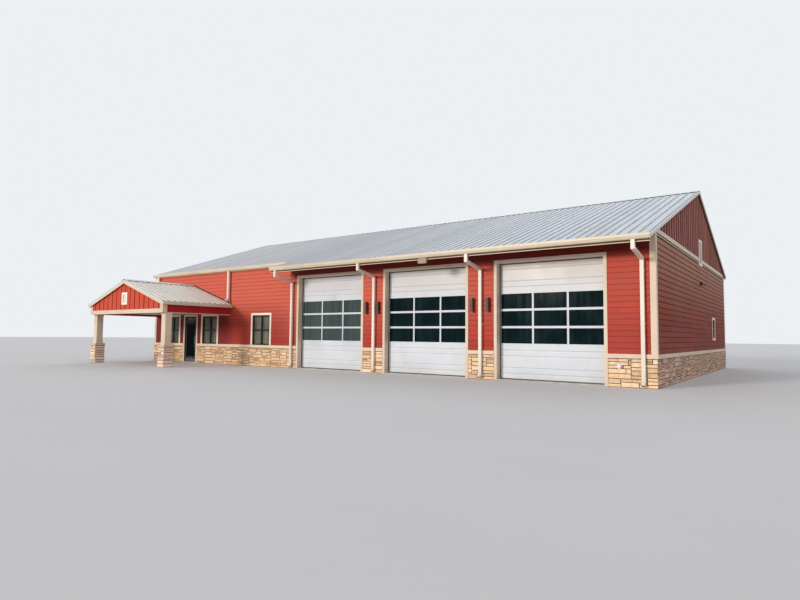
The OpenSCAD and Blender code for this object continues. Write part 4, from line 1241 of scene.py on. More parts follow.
@dataclass
class StoneBase:
    """The split stones of the base and of the portico's piers."""

    plan: Plan
    unit: float = 0.074
    rows: int = 17
    tall_odds: Triple = (0.1, 0.42, 0.48)
    low_wide: tuple[int, int] = (2, 5)
    tall_wide: tuple[int, int] = (4, 9)
    joint: float = 0.019
    drop: float = 0.012
    bedded: float = 0.004
    proud: Span = (0.005, 0.017)
    flush: float = 0.003
    askew: float = 0.002
    lean: float = 0.25
    edge: float = 0.004
    crown: float = 0.004
    corner_lap: float = 0.012
    hose: Gap = Gap(12.0, 12.21, 0.52, 0.72)
    pier_w: float = 0.46
    pier_h: float = 0.87
    cap_out: float = 0.02
    cap_grown: float = 0.004
    cap_up: Span = (0.002, 0.003)

    def blocks(self, start: float, end: float, height: float,
               dice: random.Random) -> Iterator[Quad]:
        """Fills a rectangle with stones of one to three courses, no joint running far.

        Args:
            start, end: the rectangle's ends.
            height: its height.
            dice: the source of chance.

        Yields:
            Each stone's left, right, foot and head.
        """
        cols = max(2, round((end - start) / self.unit))
        across, up = (end - start) / cols, height / self.rows
        taken: set[tuple[int, int]] = set()
        for row in range(self.rows):
            for col in range(cols):
                if (row, col) in taken:
                    continue
                tall = min(dice.choices((1, 2, 3), self.tall_odds)[0], self.rows - row)
                wish = dice.randint(*(self.low_wide if tall == 1 else self.tall_wide))
                wide = 1
                while wide < wish and col + wide < cols and (row, col + wide) not in taken:
                    wide += 1
                if cols - col - wide == 1:
                    wide += (row, cols - 1) not in taken
                taken |= {(row + i, col + j) for i in range(tall) for j in range(wide)}
                yield (start + col * across, start + (col + wide) * across, row * up, (row + tall) * up)

    def face(self, name: str, place: Matrix, runs: Sequence[Span], height: float, finish: LedgeStone,
             low_at: Gap | None = None) -> None:
        """Lays the stones of one outside face, the middle of each a little raised.

        Args:
            name: the piece's name.
            place: the axes of the stone's backing.
            runs: the stretches to fill along it.
            height: the height to fill.
            finish: the stone.
            low_at: a place where the stones stay nearly flush.
        """
        piece = Piece(name, finish, place)
        dice = random.Random(name)
        gap = self.joint / 2
        for start, end in runs:
            for left, right, foot, head in self.blocks(start, end, height - self.drop, dice):
                proud = dice.uniform(*self.proud)
                if low_at and left < low_at.end and right > low_at.start \
                        and foot < low_at.head and head > low_at.foot:
                    proud = self.flush
                verts = piece.block((left + gap, -self.bedded, foot + gap), (right - gap, proud, head - gap),
                                    dice.random())
                for vert in verts:
                    if vert.co.y > 0:
                        vert.co.x += dice.uniform(-self.askew, self.askew)
                        vert.co.z += dice.uniform(-self.askew, self.askew)
                        vert.co.y += dice.uniform(-self.lean, self.lean) * proud
        piece.bevel(self.edge)
        piece.mesh.normal_update()
        fronts = [item for item in piece.mesh.faces if item.normal.y > 0.9]
        tones = [item[piece.tone] for item in fronts]
        crowns = bmesh.ops.poke(piece.mesh, faces=fronts)["verts"]
        for vert, tone in zip(crowns, tones):
            vert.co.y += dice.uniform(0.0, self.crown)
            for item in vert.link_faces:
                item[piece.tone] = tone
        piece.done()

    def piers(self) -> None:
        """Faces the portico's two piers on all four sides and caps them."""
        low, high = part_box("portico_post_bases")
        half = self.pier_w / 2
        grown = half + self.cap_out + self.cap_grown
        caps = Piece("pier_caps", CAP_STONE)
        for index, mid_x in enumerate((low.x + self.cap_out + half, high.x - self.cap_out - half)):
            centre = Vector((mid_x, (low.y + high.y) / 2, 0))
            foot, head = self.pier_h + self.cap_up[0], high.z + self.cap_up[1]
            caps.block(centre + Vector((-grown, -grown, foot)), centre + Vector((grown, grown, head)))
            for side in Side:
                wide = half + (self.corner_lap if side in LONG_SIDES else 0)
                place = axes(centre + side.out * half, side.along, side.out)
                self.face(f"pier_stones_{index}_{side.word}", place, [(-wide, wide)], self.pier_h,
                          PIER_STONE)
        caps.bevel(self.edge, 2)
        caps.done()

    def build(self) -> None:
        """Faces the four walls and the two piers."""
        plan = self.plan
        out = plan.stone_out
        corner = plan.end + out + self.corner_lap
        edges = [-corner, plan.entry_mid - plan.entry_w / 2 - plan.trim_w,
                 plan.entry_mid + plan.entry_w / 2 + plan.trim_w]
        for left in plan.bay_left:
            edges += [left - plan.trim_w, left + plan.bay_w + plan.trim_w]
        edges.append(corner)
        self.face("stones_front", plan.wall(Side.FRONT, out), list(zip(edges[::2], edges[1::2])),
                  plan.base_top, STONE, self.hose)
        self.face("stones_back", plan.wall(Side.BACK, out), [(-corner, corner)], plan.base_top, STONE)
        for side in ENDS:
            self.face(f"stones_{side.word}", plan.wall(side, out), [(plan.front - out, plan.back + out)],
                      plan.base_top, SHADED_END_STONE)
        self.piers()


@dataclass
class Roofing:
    """What finishes the ribbed roofing: closures under its ribs, metal edges and screws."""

    plan: Plan
    pitch: float = 0.305
    foot: float = 0.075
    rib_h: float = 0.028
    drip: float = 0.03
    lay_gap: float = 0.0002
    closure_w: Span = (0.06, 0.022)
    closure_out: Span = (-0.004, 0.002)
    closure_up: Span = (0.001, 0.004)
    ridge_closure: Span = (0.16, 0.14)
    ridge_end: float = 0.01
    ridge_gap: float = 0.001
    screw_off: float = 0.055
    screw_r: Span = (0.011, 0.006)
    screw_h: float = 0.007
    screw_rows: tuple[float, ...] = (0.12, 0.9, 1.7, 2.5, 3.3, 4.1, 4.9, 5.7, 6.5, 7.3, 8.1)
    screw_clear: float = 0.3
    edge_t: float = 0.003
    edge_face: float = 0.085
    edge_lap: float = 0.03
    edge_up: Span = (0.001, 0.004)

    def rib_places(self, length: float) -> list[float]:
        """Where the ribs stand across a sheet of a length."""
        count = math.floor((length - self.foot) / self.pitch)
        first = (length - count * self.pitch) / 2
        return [first + step * self.pitch for step in range(count + 1)]

    def slope(self, name: str, place: Matrix, length: float, run: float) -> None:
        """Adds the closures at the eave, under the ridge cap, and the screws of one slope.

        Args:
            name: what the slope is called.
            place: its axes, from the eave's left end.
            length: its length along the eave.
            run: its length up the slope.
        """
        closures = Piece(f"rib_closures_{name}", FOAM, place)
        screws = Piece(f"roof_screws_{name}", SCREW_HEADS, place)
        half, top = (width / 2 for width in self.closure_w)
        head = self.rib_h - self.closure_up[1]
        for middle in self.rib_places(length):
            verts = closures.block((middle - half, self.closure_out[0], self.closure_up[0]),
                                   (middle + half, self.closure_out[1], head))
            for vert in verts:
                if vert.co.z > self.rib_h / 2:
                    vert.co.x = middle + math.copysign(top, vert.co.x - middle)
            for row in self.screw_rows:
                if row < run - self.screw_clear:
                    screws.disc((middle + self.screw_off, row, self.screw_h / 2), self.screw_r[0],
                                self.screw_h, top=self.screw_r[1], sides=6)
        closures.block((self.ridge_end, run - self.ridge_closure[0], 0),
                       (length - self.ridge_end, run - self.ridge_closure[1], self.rib_h - self.ridge_gap))
        closures.done()
        screws.done()

    def rake_edge(self, name: str, place: Matrix, end: float, run: float) -> None:
        """Bends a metal edge over the sheet and the rake board at one end of a slope.

        Args:
            name: what the edge is called.
            place: the slope's axes.
            end: where the rake stands along the eave, 0 at the slope's start.
            run: its length up the slope.
        """
        piece = Piece(f"rake_edge_{name}", FLASHING, place)
        way = 1 if end > 0 else -1
        outer, inner = end + way * self.edge_t, end - way * self.edge_lap
        foot, head = self.edge_up
        piece.block((min(end, outer), 0.0, -self.edge_face), (max(end, outer), run, head))
        piece.block((min(inner, outer), 0.0, foot), (max(inner, outer), run, head))
        piece.done()

    def build(self) -> None:
        """Finishes the main roof's three sheets."""
        plan = self.plan
        tilt = plan.tilt
        left, seam, right = -plan.roof_end, plan.deep_eave_x, plan.roof_end
        slopes = (("bays", 1, seam, right, plan.deep_out, (("bays", 1),)),
                  ("office", 1, left, seam - self.lay_gap, plan.plain_out, (("office", 0),)),
                  ("back", -1, left, right, plan.plain_out, (("back_right", 0), ("back_left", 1))))
        for name, way, start, end, eave_out, edges in slopes:
            out = eave_out + self.drip
            foot = plan.eave_z - plan.slope * out
            corner = Vector((start, plan.front - out, foot) if way > 0 else (end, plan.back + out, foot))
            along = EAST * way
            rise = Vector((0, way * math.cos(tilt), math.sin(tilt)))
            place = axes(corner, along, rise, along.cross(rise))
            run = (plan.middle - plan.front + out) / math.cos(tilt)
            self.slope(name, place, end - start, run)
            for edge, far in edges:
                self.rake_edge(edge, place, far * (end - start), run)


@dataclass
class Portico:
    """The portico's battens, flashing, post mouldings, ceiling boards and roof details."""

    plan: Plan
    roofing: Roofing
    cladding: Cladding
    from_left: float = 3.39
    ridge_z: float = 4.06
    slope: float = 0.333
    depth: float = 3.75
    rake: float = 0.1
    gable_w: float = 6.46
    edge: float = 3.275
    beam_z: float = 2.43
    foot_board: float = 0.19
    deck_drop: float = 0.10285
    corner_w: float = 0.19
    first_batten: float = 0.05
    vent_w: float = 0.47
    vent_up: Span = (2.86, 3.44)
    cap_cut: float = 0.04
    flashing_off: float = 0.018
    flashing_t: float = 0.003
    flashing_h: float = 0.06
    flashing_w: float = 0.07
    post_w: float = 0.31
    plinth: tuple[Triple, ...] = ((0.172, 0.0, 0.12), (0.166, 0.12, 0.14))
    head_board: Triple = (0.168, 0.1, 0.002)
    post_edge: float = 0.003
    strip_out: float = 0.012
    strip_up: Span = (0.002, 0.028)
    strip_ends: Span = (0.02, 0.002)
    strip_edge: float = 0.002
    board_w: float = 0.14
    board_t: float = 0.012
    board_gap: float = 0.003

    @property
    def middle(self) -> float:
        """The portico's middle along the front."""
        return round(self.from_left - self.plan.end, 3)

    @property
    def eave_z(self) -> float:
        """Height of the roof's plane at the portico's eaves."""
        return self.ridge_z - self.slope * self.edge

    def under_deck(self, x: float) -> float:
        """Height of the underside of the portico's deck at a place along the front."""
        return self.ridge_z - self.deck_drop - self.slope * abs(x - self.middle)

    def gable(self) -> None:
        """Battens on the gable panel."""
        place = self.plan.wall(Side.FRONT, self.depth - self.rake)
        half = self.gable_w / 2 - self.corner_w - self.first_batten
        self.cladding.battens("portico_battens", BATTENS, place, (self.middle - half, self.middle + half),
                              self.beam_z + self.foot_board, self.under_deck,
                              opening(self.middle, self.vent_w, *self.vent_up, trim=0.0), self.middle,
                              self.cladding.batten_out)

    def roof(self) -> None:
        """Closures, edges and screws on both slopes, and the flashing against the wall, dark as painted
        shadow.
        """
        tilt = math.atan(self.slope)
        reach = self.edge + self.roofing.drip
        run = (reach - self.cap_cut) / math.cos(tilt)
        rib_h = self.roofing.rib_h
        for name, way in (("portico_right", 1), ("portico_left", -1)):
            start = self.plan.front - self.depth if way > 0 else self.plan.front
            corner = Vector((self.middle + way * reach, start, self.ridge_z - self.slope * reach))
            along = Vector((0, way, 0))
            rise = Vector((-way * math.cos(tilt), 0, math.sin(tilt)))
            place = axes(corner, along, rise, along.cross(rise))
            front, wall = (0.0, self.depth) if way > 0 else (self.depth, 0.0)
            self.roofing.slope(name, place, self.depth, run)
            self.roofing.rake_edge(name, place, front, run)
            # the flashing against the wall is dark, as painted shadow where the roof meets the siding
            shaded_flashing = Piece(f"flashing_{name}", SHADOW_RECESS, place)
            off = self.flashing_off
            near, far = sorted((wall - way * (off + self.flashing_t), wall - way * off))
            shaded_flashing.block((near, 0.0, 0.0), (far, run, self.flashing_h))
            near, far = sorted((wall, wall - way * self.flashing_w))
            shaded_flashing.block((near, 0.0, rib_h), (far, run, rib_h + self.flashing_t))
            shaded_flashing.done()

    def posts(self) -> None:
        """Plinth and head mouldings round the two posts."""
        low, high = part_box("portico_posts")
        piece = Piece("post_mouldings", TRIM)
        mid_y = (low.y + high.y) / 2
        levels = [(half, low.z + foot, low.z + head) for half, foot, head in self.plinth]
        levels.append((self.head_board[0], high.z - self.head_board[1], high.z - self.head_board[2]))
        for mid_x in (low.x + self.post_w / 2, high.x - self.post_w / 2):
            for half, foot, head in levels:
                piece.block((mid_x - half, mid_y - half, foot), (mid_x + half, mid_y + half, head))
        piece.bevel(self.post_edge)
        piece.done()

    def beam_strips(self) -> None:
        """The cream strips along the foot of the side beams."""
        low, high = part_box("portico_beams")
        piece = Piece("beam_strips", TRIM)
        front, wall = low.y + self.strip_ends[0], self.plan.front - self.strip_ends[1]
        for near, far in ((low.x - self.strip_out, low.x), (high.x, high.x + self.strip_out)):
            piece.block((near, front, low.z + self.strip_up[0]), (far, wall, low.z + self.strip_up[1]))
        piece.bevel(self.strip_edge)
        piece.done()

    def ceiling(self) -> None:
        """Grooved boards under the ceiling."""
        low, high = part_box("portico_ceiling")
        piece = Piece("ceiling_boards", TRIM)
        dice = random.Random("ceiling")
        count = int((high.y - low.y) / self.board_w)
        step = (high.y - low.y) / count
        for index in range(count):
            start = low.y + index * step
            piece.block((low.x, start + self.board_gap, low.z - self.board_t),
                        (high.x, start + step - self.board_gap, low.z), dice.random())
        piece.done()

    def build(self) -> None:
        """Makes all of the portico's added pieces."""
        self.gable()
        self.roof()
        self.posts()
        self.beam_strips()
        self.ceiling()


@dataclass
class RainGoods:
    """Beads and sleeves of the gutters, straps and mouths of the downspouts."""

    plan: Plan
    portico: Portico
    depth: float = 0.125
    back_h: float = 0.11
    lip: float = 0.05
    portico_h: float = 0.14
    sheet_v: float = 0.0129
    portico_sheet_v: float = 0.01285
    ogee: tuple[Span, ...] = ((0.62, 0), (0.78, 0.14), (0.88, 0.34), (0.90, 0.46), (1, 0.56), (1, 1))
    bead_in: float = 0.012
    bead_out: float = 0.006
    bead_end: float = 0.004
    bead_edge: float = 0.005
    sleeve_step: float = 3.05
    sleeve_w: float = 0.06
    sleeve_t: Span = (0.001, 0.003)
    sleeve_down: float = 0.002
    shade_t: float = 0.003
    shade_over: float = 0.022
    shade_ends: Span = (0.002, 0.1)
    shade_under: float = 0.001
    pipe_w: float = 0.11
    pipe_d: float = 0.09
    wall_gap: float = 0.045
    strap_h: float = 0.03
    strap_t: float = 0.003
    lug_w: float = 0.014
    lug_out: float = 0.022
    seam_h: float = 0.008
    seam_back: float = 0.002
    low_seam: float = 0.2
    seam_over_strap: float = 0.32
    kick: Span = (0.07, 0.12)
    mouth: Triple = (0.1, 0.08, 0.07)
    mouth_back: float = 0.02
    mouth_z: float = 0.104
    pier_off: Span = (0.09, 0.01)
    first_off: float = 0.32
    last_off: float = 0.35
    front_straps: Triple = (3.5, 1.9, 0.5)
    back_straps: Triple = (4.0, 2.2, 0.5)

    def gutter(self, name: str, place: Matrix, start: float, end: float, height: float) -> None:
        """Adds the rolled bead and the sleeves of one gutter.

        Args:
            name: what the gutter is called.
            place: its axes, at the foot of its back.
            start, end: its ends along.
            height: the height of its front.
        """
        piece = Piece(f"gutter_bead_{name}", RAIN_METAL, place)
        piece.block((start + self.bead_end, self.depth - self.bead_in, height - self.bead_in),
                    (end - self.bead_end, self.depth + self.bead_out, height + self.bead_out))
        piece.bevel(self.bead_edge, 2)
        count = max(1, round((end - start) / self.sleeve_step))
        inside, outside = self.sleeve_t
        outer = [(out * self.depth + outside, up * height - self.sleeve_down) for out, up in self.ogee]
        inner = [(out * self.depth - inside, up * height) for out, up in reversed(self.ogee)]
        for step in range(1, count):
            at = start + (end - start) * step / count
            piece.prism([*outer, *inner], at - self.sleeve_w / 2, at + self.sleeve_w / 2)
        piece.done()

    def foot(self, out: float) -> float:
        """The height of the foot of a main gutter's back, at its distance from the wall."""
        plan = self.plan
        return plan.eave_z - plan.slope * out - self.sheet_v - plan.board_t - self.back_h

    def gutters(self) -> None:
        """The beads of all five gutters and the shade on the fascia under the deep one."""
        plan = self.plan
        for name, side, out, left, right in (
                ("bays", Side.FRONT, plan.deep_out, plan.deep_eave_x, plan.roof_end),
                ("office", Side.FRONT, plan.plain_out, -plan.roof_end, plan.deep_eave_x),
                ("back", Side.BACK, plan.plain_out, -plan.roof_end, plan.roof_end)):
            place = Matrix.Translation((0, 0, self.foot(out))) @ plan.wall(side, out)
            self.gutter(name, place, left, right, self.back_h + self.lip)
        shade = Piece("fascia_shade", EAVE_SHADE, plan.wall(Side.FRONT, plan.deep_out))
        start, end = self.shade_ends
        shade.block((plan.deep_eave_x + start, 0.0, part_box("eave_fascia")[0].z + self.shade_over),
                    (plan.end + end, self.shade_t, self.foot(plan.deep_out) - self.shade_under))
        shade.done()
        low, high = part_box("portico_roof_deck")
        foot = self.portico.eave_z - self.portico_sheet_v - plan.board_t - self.portico_h
        for name, side, x in (("portico_left", Side.LEFT, low.x - plan.board_t),
                              ("portico_right", Side.RIGHT, high.x + plan.board_t)):
            place = axes(Vector((x, 0, foot)), side.along, side.out)
            self.gutter(name, place, plan.front - self.portico.depth, plan.front, self.portico_h)

    def strapped(self, side: Side, places: Sequence[float], levels: Sequence[float]) -> None:
        """Straps and seams on the upright pipes of one side, and the dark red lining of their mouths,
        darkened as painted shade.

        Args:
            side: the wall that they run down.
            places: the middle of each pipe along the wall.
            levels: the heights of the straps.
        """
        straps = Piece(f"pipe_straps_{side.word}", PIPE_METAL, self.plan.wall(side))
        mouths = Piece(f"pipe_mouths_{side.word}", PRIMER_AND_SHADE, self.plan.wall(side))
        half = self.pipe_w / 2 + self.strap_t
        front = self.wall_gap + self.pipe_d + self.strap_t
        lug = half + self.lug_w
        tilt = Matrix.Rotation(math.atan2(*self.kick), 4, "X")
        mouth_half = Vector(self.mouth) / 2
        mouth_out = self.wall_gap + self.pipe_d / 2 + self.kick[0] - self.mouth_back
        for middle in places:
            for level in levels:
                head = level + self.strap_h
                straps.block((middle - half, 0.0, level), (middle + half, front, head))
                straps.block((middle - lug, 0.0, level), (middle + lug, self.lug_out, head))
            for seam in (self.low_seam, levels[0] + self.seam_over_strap):
                straps.block((middle - half, self.wall_gap - self.seam_back, seam),
                             (middle + half, front, seam + self.seam_h))
            centre = Matrix.Translation((middle, mouth_out, self.mouth_z))
            cup = mouths.block(-mouth_half, mouth_half)
            bmesh.ops.transform(mouths.mesh, matrix=centre @ tilt, verts=cup)
        straps.done()
        mouths.done()

    def build(self) -> None:
        """Finishes the gutters and downspouts."""
        plan = self.plan
        self.gutters()
        piers = [left + plan.bay_w + plan.bay_pier / 2 + off
                 for left, off in zip(plan.bay_left, self.pier_off)]
        right = plan.end - self.last_off
        self.strapped(Side.FRONT, [plan.deep_eave_x + self.first_off, *piers, right], self.front_straps)
        self.strapped(Side.BACK, [-right, 0.0, right], self.back_straps)


@dataclass
class BayDoors:
    """Seals, stops and glazing beads of the three sectional doors."""

    plan: Plan
    section: float = 0.5975
    glazed: tuple[int, ...] = (2, 3, 4)
    panes: int = 3
    rail: float = 0.03
    stile: float = 0.045
    bar: float = 0.05
    bead: tuple[float, float, Span] = (0.008, 0.016, (0.0, 0.006))
    gasket: tuple[float, float, Span] = (-0.007, 0.009, (-0.012, 0.003))
    foot_seal: Triple = (0.01, 0.008, 0.035)
    side_seal: float = 0.022
    seal_gap: float = 0.008
    seal_out: Span = (0.001, 0.02)

    def glazing(self, rings: Piece, left: float, size: tuple[float, float, Span]) -> None:
        """Rings the panes of one door.

        Args:
            rings: the piece that gathers them.
            left: where the door starts.
            size: how far the ring reaches past the pane, its width, and where it stands outward.
        """
        past, width, out = size
        pane_w = (self.plan.bay_w - 2 * self.stile - (self.panes - 1) * self.bar) / self.panes
        for level in self.glazed:
            foot = self.plan.slab + level * self.section + self.rail
            head = foot + self.section - 2 * self.rail
            for index in range(self.panes):
                start = left + self.stile + index * (pane_w + self.bar)
                rings.ring((start - past, start + pane_w + past), (foot - past, head + past), width, out)

    def build(self) -> None:
        """Adds the details of each door."""
        plan = self.plan
        place = plan.wall(Side.FRONT, -plan.wall_t)
        beads = Piece("door_glazing_beads", DOOR_PAINT, place)
        gaskets = Piece("door_glazing_gaskets", RUBBER, place)
        seals = Piece("door_seals", RUBBER, place)
        near, far = self.seal_out
        foot, head = plan.slab + near, plan.bay_h - self.seal_gap
        inset = self.seal_gap + self.side_seal
        for left in plan.bay_left:
            right = left + plan.bay_w
            self.glazing(beads, left, self.bead)
            self.glazing(gaskets, left, self.gasket)
            end, thick, top = self.foot_seal
            seals.block((left + end, 0.0, foot), (right - end, thick, plan.slab + top))
            for start in (left + self.seal_gap, right - inset):
                seals.block((start, near, foot), (start + self.side_seal, far, head))
            seals.block((left + inset, near, plan.bay_h - inset), (right - inset, far, head))
        for piece in (beads, gaskets, seals):
            piece.done()


@dataclass
class Windows:
    """Beads, meeting rails and blinds of the windows."""

    plan: Plan
    frame_w: float = 0.045
    post: float = 0.07
    rail: float = 0.04
    set_back: float = 0.02
    pane_bead: tuple[float, Span] = (0.015, (-0.036, -0.012))
    frame_bead: tuple[float, Span] = (0.018, (-0.01, 0.006))
    bead_gap: float = 0.002
    meeting_out: Span = (-0.02, 0.008)
    slat: float = 0.05
    slat_step: float = 0.045
    slat_t: float = 0.002
    slat_lean: float = 0.008
    slat_foot: float = 0.02
    blind_back: float = 0.16
    blind_in: float = 0.03

    def window(self, beads: Piece, place: Quad, cols: int) -> None:
        """Adds the beads and meeting rails of one window.

        Args:
            beads: the piece that gathers the glazing beads.
            place: the window's middle, width, sill and height.
            cols: how many panes lie side by side.
        """
        middle, width, sill, height = place
        gap, back = self.bead_gap, self.set_back
        bead_w, (deep, near) = self.pane_bead
        inner_w = (width - 2 * self.frame_w - (cols - 1) * self.post) / cols
        inner_h = (height - 2 * self.frame_w - self.rail) / 2
        for col in range(cols):
            left = middle - width / 2 + self.frame_w + col * (inner_w + self.post)
            for row in range(2):
                foot = sill + self.frame_w + row * (inner_h + self.rail)
                beads.ring((left, left + inner_w), (foot, foot + inner_h), bead_w,
                           (deep - back, near - back))
            meet = sill + self.frame_w + inner_h
            beads.block((left, self.meeting_out[0] - back, meet + gap),
                        (left + inner_w, self.meeting_out[1] - back, meet + self.rail - gap))
        bead_w, (deep, near) = self.frame_bead
        beads.ring((middle - width / 2 + gap, middle + width / 2 - gap), (sill + gap, sill + height - gap),
                   bead_w, (deep - back, near - back))

    def blind(self, blinds: Piece, place: Quad) -> None:
        """Hangs a slatted blind behind one window.

        Args:
            blinds: the piece that gathers the blinds.
            place: the window's middle, width, sill and height.
        """
        middle, width, sill, height = place
        half = width / 2 - self.blind_in
        dice = random.Random(f"{middle:.2f}")
        for index in range(int((height - 2 * self.blind_in) / self.slat_step)):
            foot = sill + self.slat_foot + index * self.slat_step
            verts = blinds.block((middle - half, -self.blind_back, foot),
                                 (middle + half, self.slat_t - self.blind_back, foot + self.slat),
                                 dice.random())
            for vert in verts:
                if vert.co.z > foot + self.slat / 2:
                    vert.co.y -= self.slat_lean

    def build(self) -> None:
        """Dresses the windows of all four sides."""
        plan = self.plan
        for side in Side:
            beads = Piece(f"window_beads_{side.word}", FRAME_COAT, plan.wall(side))
            if side in LONG_SIDES:
                blinds = Piece(f"window_blinds_{side.word}", BLINDS, plan.wall(side))
                for middle in plan.windows:
                    place = (middle, plan.win_w, plan.cap_top, plan.win_h)
                    self.window(beads, place, 2)
                    self.blind(blinds, place)
                blinds.done()
            else:
                self.window(beads, plan.side_win, 1)
            beads.done()


@dataclass
class Entry:
    """Threshold, a dark backing of painted shade behind the transom, and the pieces that move with the entry
    door.
    """

    plan: Plan
    frame_w: float = 0.045
    ridges: int = 5
    ridge_first: float = -0.09
    ridge_step: float = 0.015
    ridge_w: float = 0.01
    ridge_up: Span = (0.0445, 0.0465)
    backing_foot: float = 2.2
    backing_head: float = 0.04
    backing_out: Span = (-0.11, -0.105)
    bead_w: float = 0.014
    bead_out: Span = (-0.036, -0.014)
    kick_ends: Span = (0.035, 0.02)
    kick_up: Span = (0.02, 0.15)
    kick_out: Span = (-0.02, -0.0185)

    def build(self) -> None:
        """Adds the entry's details."""
        plan = self.plan
        place = plan.wall(Side.FRONT)
        low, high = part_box("entry_door")
        half = plan.entry_w / 2 - self.frame_w
        left, right = plan.entry_mid - half, plan.entry_mid + half
        sill = Piece("entry_threshold", ALUMINIUM, place)
        for step in range(self.ridges):
            start = self.ridge_first + step * self.ridge_step
            sill.block((left, start, self.ridge_up[0]), (right, start + self.ridge_w, self.ridge_up[1]))
        sill.done()
        # painted shade: a dark sheet behind the transom glass
        dark = Piece("transom_backing", FOAM, place)
        dark.block((left, self.backing_out[0], self.backing_foot),
                   (right, self.backing_out[1], plan.entry_h - self.backing_head))
        dark.done()
        glass_low, glass_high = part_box("entry_door_glass")
        beads = Piece("entry_glazing_beads", FRAME_COAT, place, body="entry_door")
        beads.ring((glass_low.x, glass_high.x), (glass_low.z, glass_high.z), self.bead_w, self.bead_out)
        beads.done()
        kick = Piece("entry_kick_plate", HANDLE, place, body="entry_door")
        kick.block((low.x + self.kick_ends[0], self.kick_out[0], low.z + self.kick_up[0]),
                   (high.x - self.kick_ends[1], self.kick_out[1], low.z + self.kick_up[1]))
        kick.done()


@dataclass
class Fittings:
    """Rings, lenses, screens and caps of the lights, vents and hose connection."""

    plan: Plan
    portico: Portico
    lamp_r: float = 0.06
    lamp_foot: float = 2.36
    lamp_h: float = 0.5
    lamp_off: float = 0.308
    lamp_gap: float = 0.04
    lamp_ring: tuple[float, float] = (0.004, 0.024)
    lamp_lens: tuple[float, float] = (0.012, 0.004)
    lamp_plate: tuple[float, Span, Span] = (0.045, (0.024, 0.004), (2.49, 2.73))
    screen_in: float = 0.06
    screen_out: Span = (-0.002, 0.004)
    porch_screen: tuple[float, Span] = (0.2, (2.9, 3.4))
    eave_lens: tuple[float, ...] = (0.03, 0.004, 0.01, 0.006, 0.001)
    eave_lens_edge: float = 0.003
    flood_reach: float = 0.1081
    flood_out: float = 0.095
    flood_level: float = 3.755
    flood_aim: Triple = (0.383, 0.821, -0.423)
    flood_lens: Triple = (0.056, 0.052, 0.006)
    bolts: int = 6
    first_bolt: float = 30.0
    bolt_ring: float = 0.062
    bolt_r: float = 0.007
    bolt_h: float = 0.008
    bolt_back: float = 0.011
    cap_disc: Triple = (0.002, 0.03, 0.006)

    def lamps(self) -> None:
        """Rings, plates and lenses of the four wall lights."""
        plan = self.plan
        rings = Piece("lamp_rings", LAMP_COAT)
        lenses = Piece("lamp_lenses", LENS)
        y = plan.front - self.lamp_gap - self.lamp_r
        wider, ring_h = self.lamp_ring
        smaller, lens_h = self.lamp_lens
        half, (plate_front, plate_back), (plate_foot, plate_head) = self.lamp_plate
        foot, head = self.lamp_foot, self.lamp_foot + self.lamp_h
        for left in plan.bay_left[:2]:
            pier = left + plan.bay_w + plan.bay_pier / 2
            for x in (pier - self.lamp_off, pier + self.lamp_off):
                for level in (foot + ring_h / 2, head - ring_h / 2, (foot + head) / 2):
                    rings.disc((x, y, level), self.lamp_r + wider, ring_h, sides=32)
                rings.block((x - half, plan.front - plate_front, plate_foot),
                            (x + half, plan.front - plate_back, plate_head))
                for level in (foot - lens_h / 2, head + lens_h / 2):
                    lenses.disc((x, y, level), self.lamp_r - smaller, lens_h, sides=32)
        rings.done(smooth=True)
        lenses.done(smooth=True)

    def screen(self, name: str, place: Matrix, along: Span, up: Span) -> None:
        """Adds a mesh screen behind the slats of one vent.

        Args:
            name: which vent it is.
            place: the axes of its wall.
            along, up: its edges.
        """
        screen = Piece(f"vent_screen_{name}", MESH, place)
        screen.block((along[0], self.screen_out[0], up[0]), (along[1], self.screen_out[1], up[1]))
        screen.done()

    def screens(self) -> None:
        """Pale mesh screens behind the slats of all three vents."""
        plan, portico = self.plan, self.portico
        middle, width, foot, height = plan.vent
        half = width / 2 - self.screen_in
        for side in ENDS:
            self.screen(side.word, plan.wall(side), (middle - half, middle + half),
                        (foot + self.screen_in, foot + height - self.screen_in))
        half, up = self.porch_screen
        corner = Vector((portico.middle, plan.front - portico.depth + portico.rake, 0))
        self.screen("portico", axes(corner, Side.FRONT.along, Side.FRONT.out), (-half, half), up)

    def lenses(self) -> None:
        """The lens of the light under the deep eave and those of the floodlight."""
        low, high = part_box("eave_light")
        lens = Piece("eave_light_lens", LIGHT_BODY)
        end, near, far, down, up = self.eave_lens
        lens.block((low.x + end, low.y + near, low.z - down), (high.x - end, high.y - far, low.z + up))
        lens.bevel(self.eave_lens_edge)
        lens.done()
        flood = Piece("flood_lenses", FLOOD_LENS, self.plan.wall(Side.RIGHT))
        forward, radius, thick = self.flood_lens
        across, out, down = self.flood_aim
        for way in (-1, 1):
            centre = Vector((self.plan.vent[0] + way * self.flood_reach, self.flood_out, self.flood_level))
            aim = Vector((way * across, out, down))
            flood.disc(centre + aim * forward, radius, thick,
                       turn=aim.to_track_quat("Z", "Y").to_matrix().to_4x4(), sides=32)
        flood.done()

    def hose(self) -> None:
        """The cap and the bolts of the hose connection."""
        low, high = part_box("hose_connection")
        centre = (low + high) / 2
        piece = Piece("hose_connection_bolts", ALUMINIUM)
        turn = Matrix.Rotation(math.pi / 2, 4, "X")
        for step in range(self.bolts):
            angle = math.radians(self.first_bolt + step * 360 / self.bolts)
            at = (centre.x + self.bolt_ring * math.cos(angle), high.y - self.bolt_back,
                  centre.z + self.bolt_ring * math.sin(angle))
            piece.disc(at, self.bolt_r, self.bolt_h, turn=turn, sides=6)
        forward, radius, thick = self.cap_disc
        piece.disc((centre.x, low.y - forward, centre.z), radius, thick, turn=turn, sides=24)
        piece.done(smooth=True)

    def build(self) -> None:
        """Adds all of these details."""
        self.lamps()
        self.screens()
        self.lenses()
        self.hose()


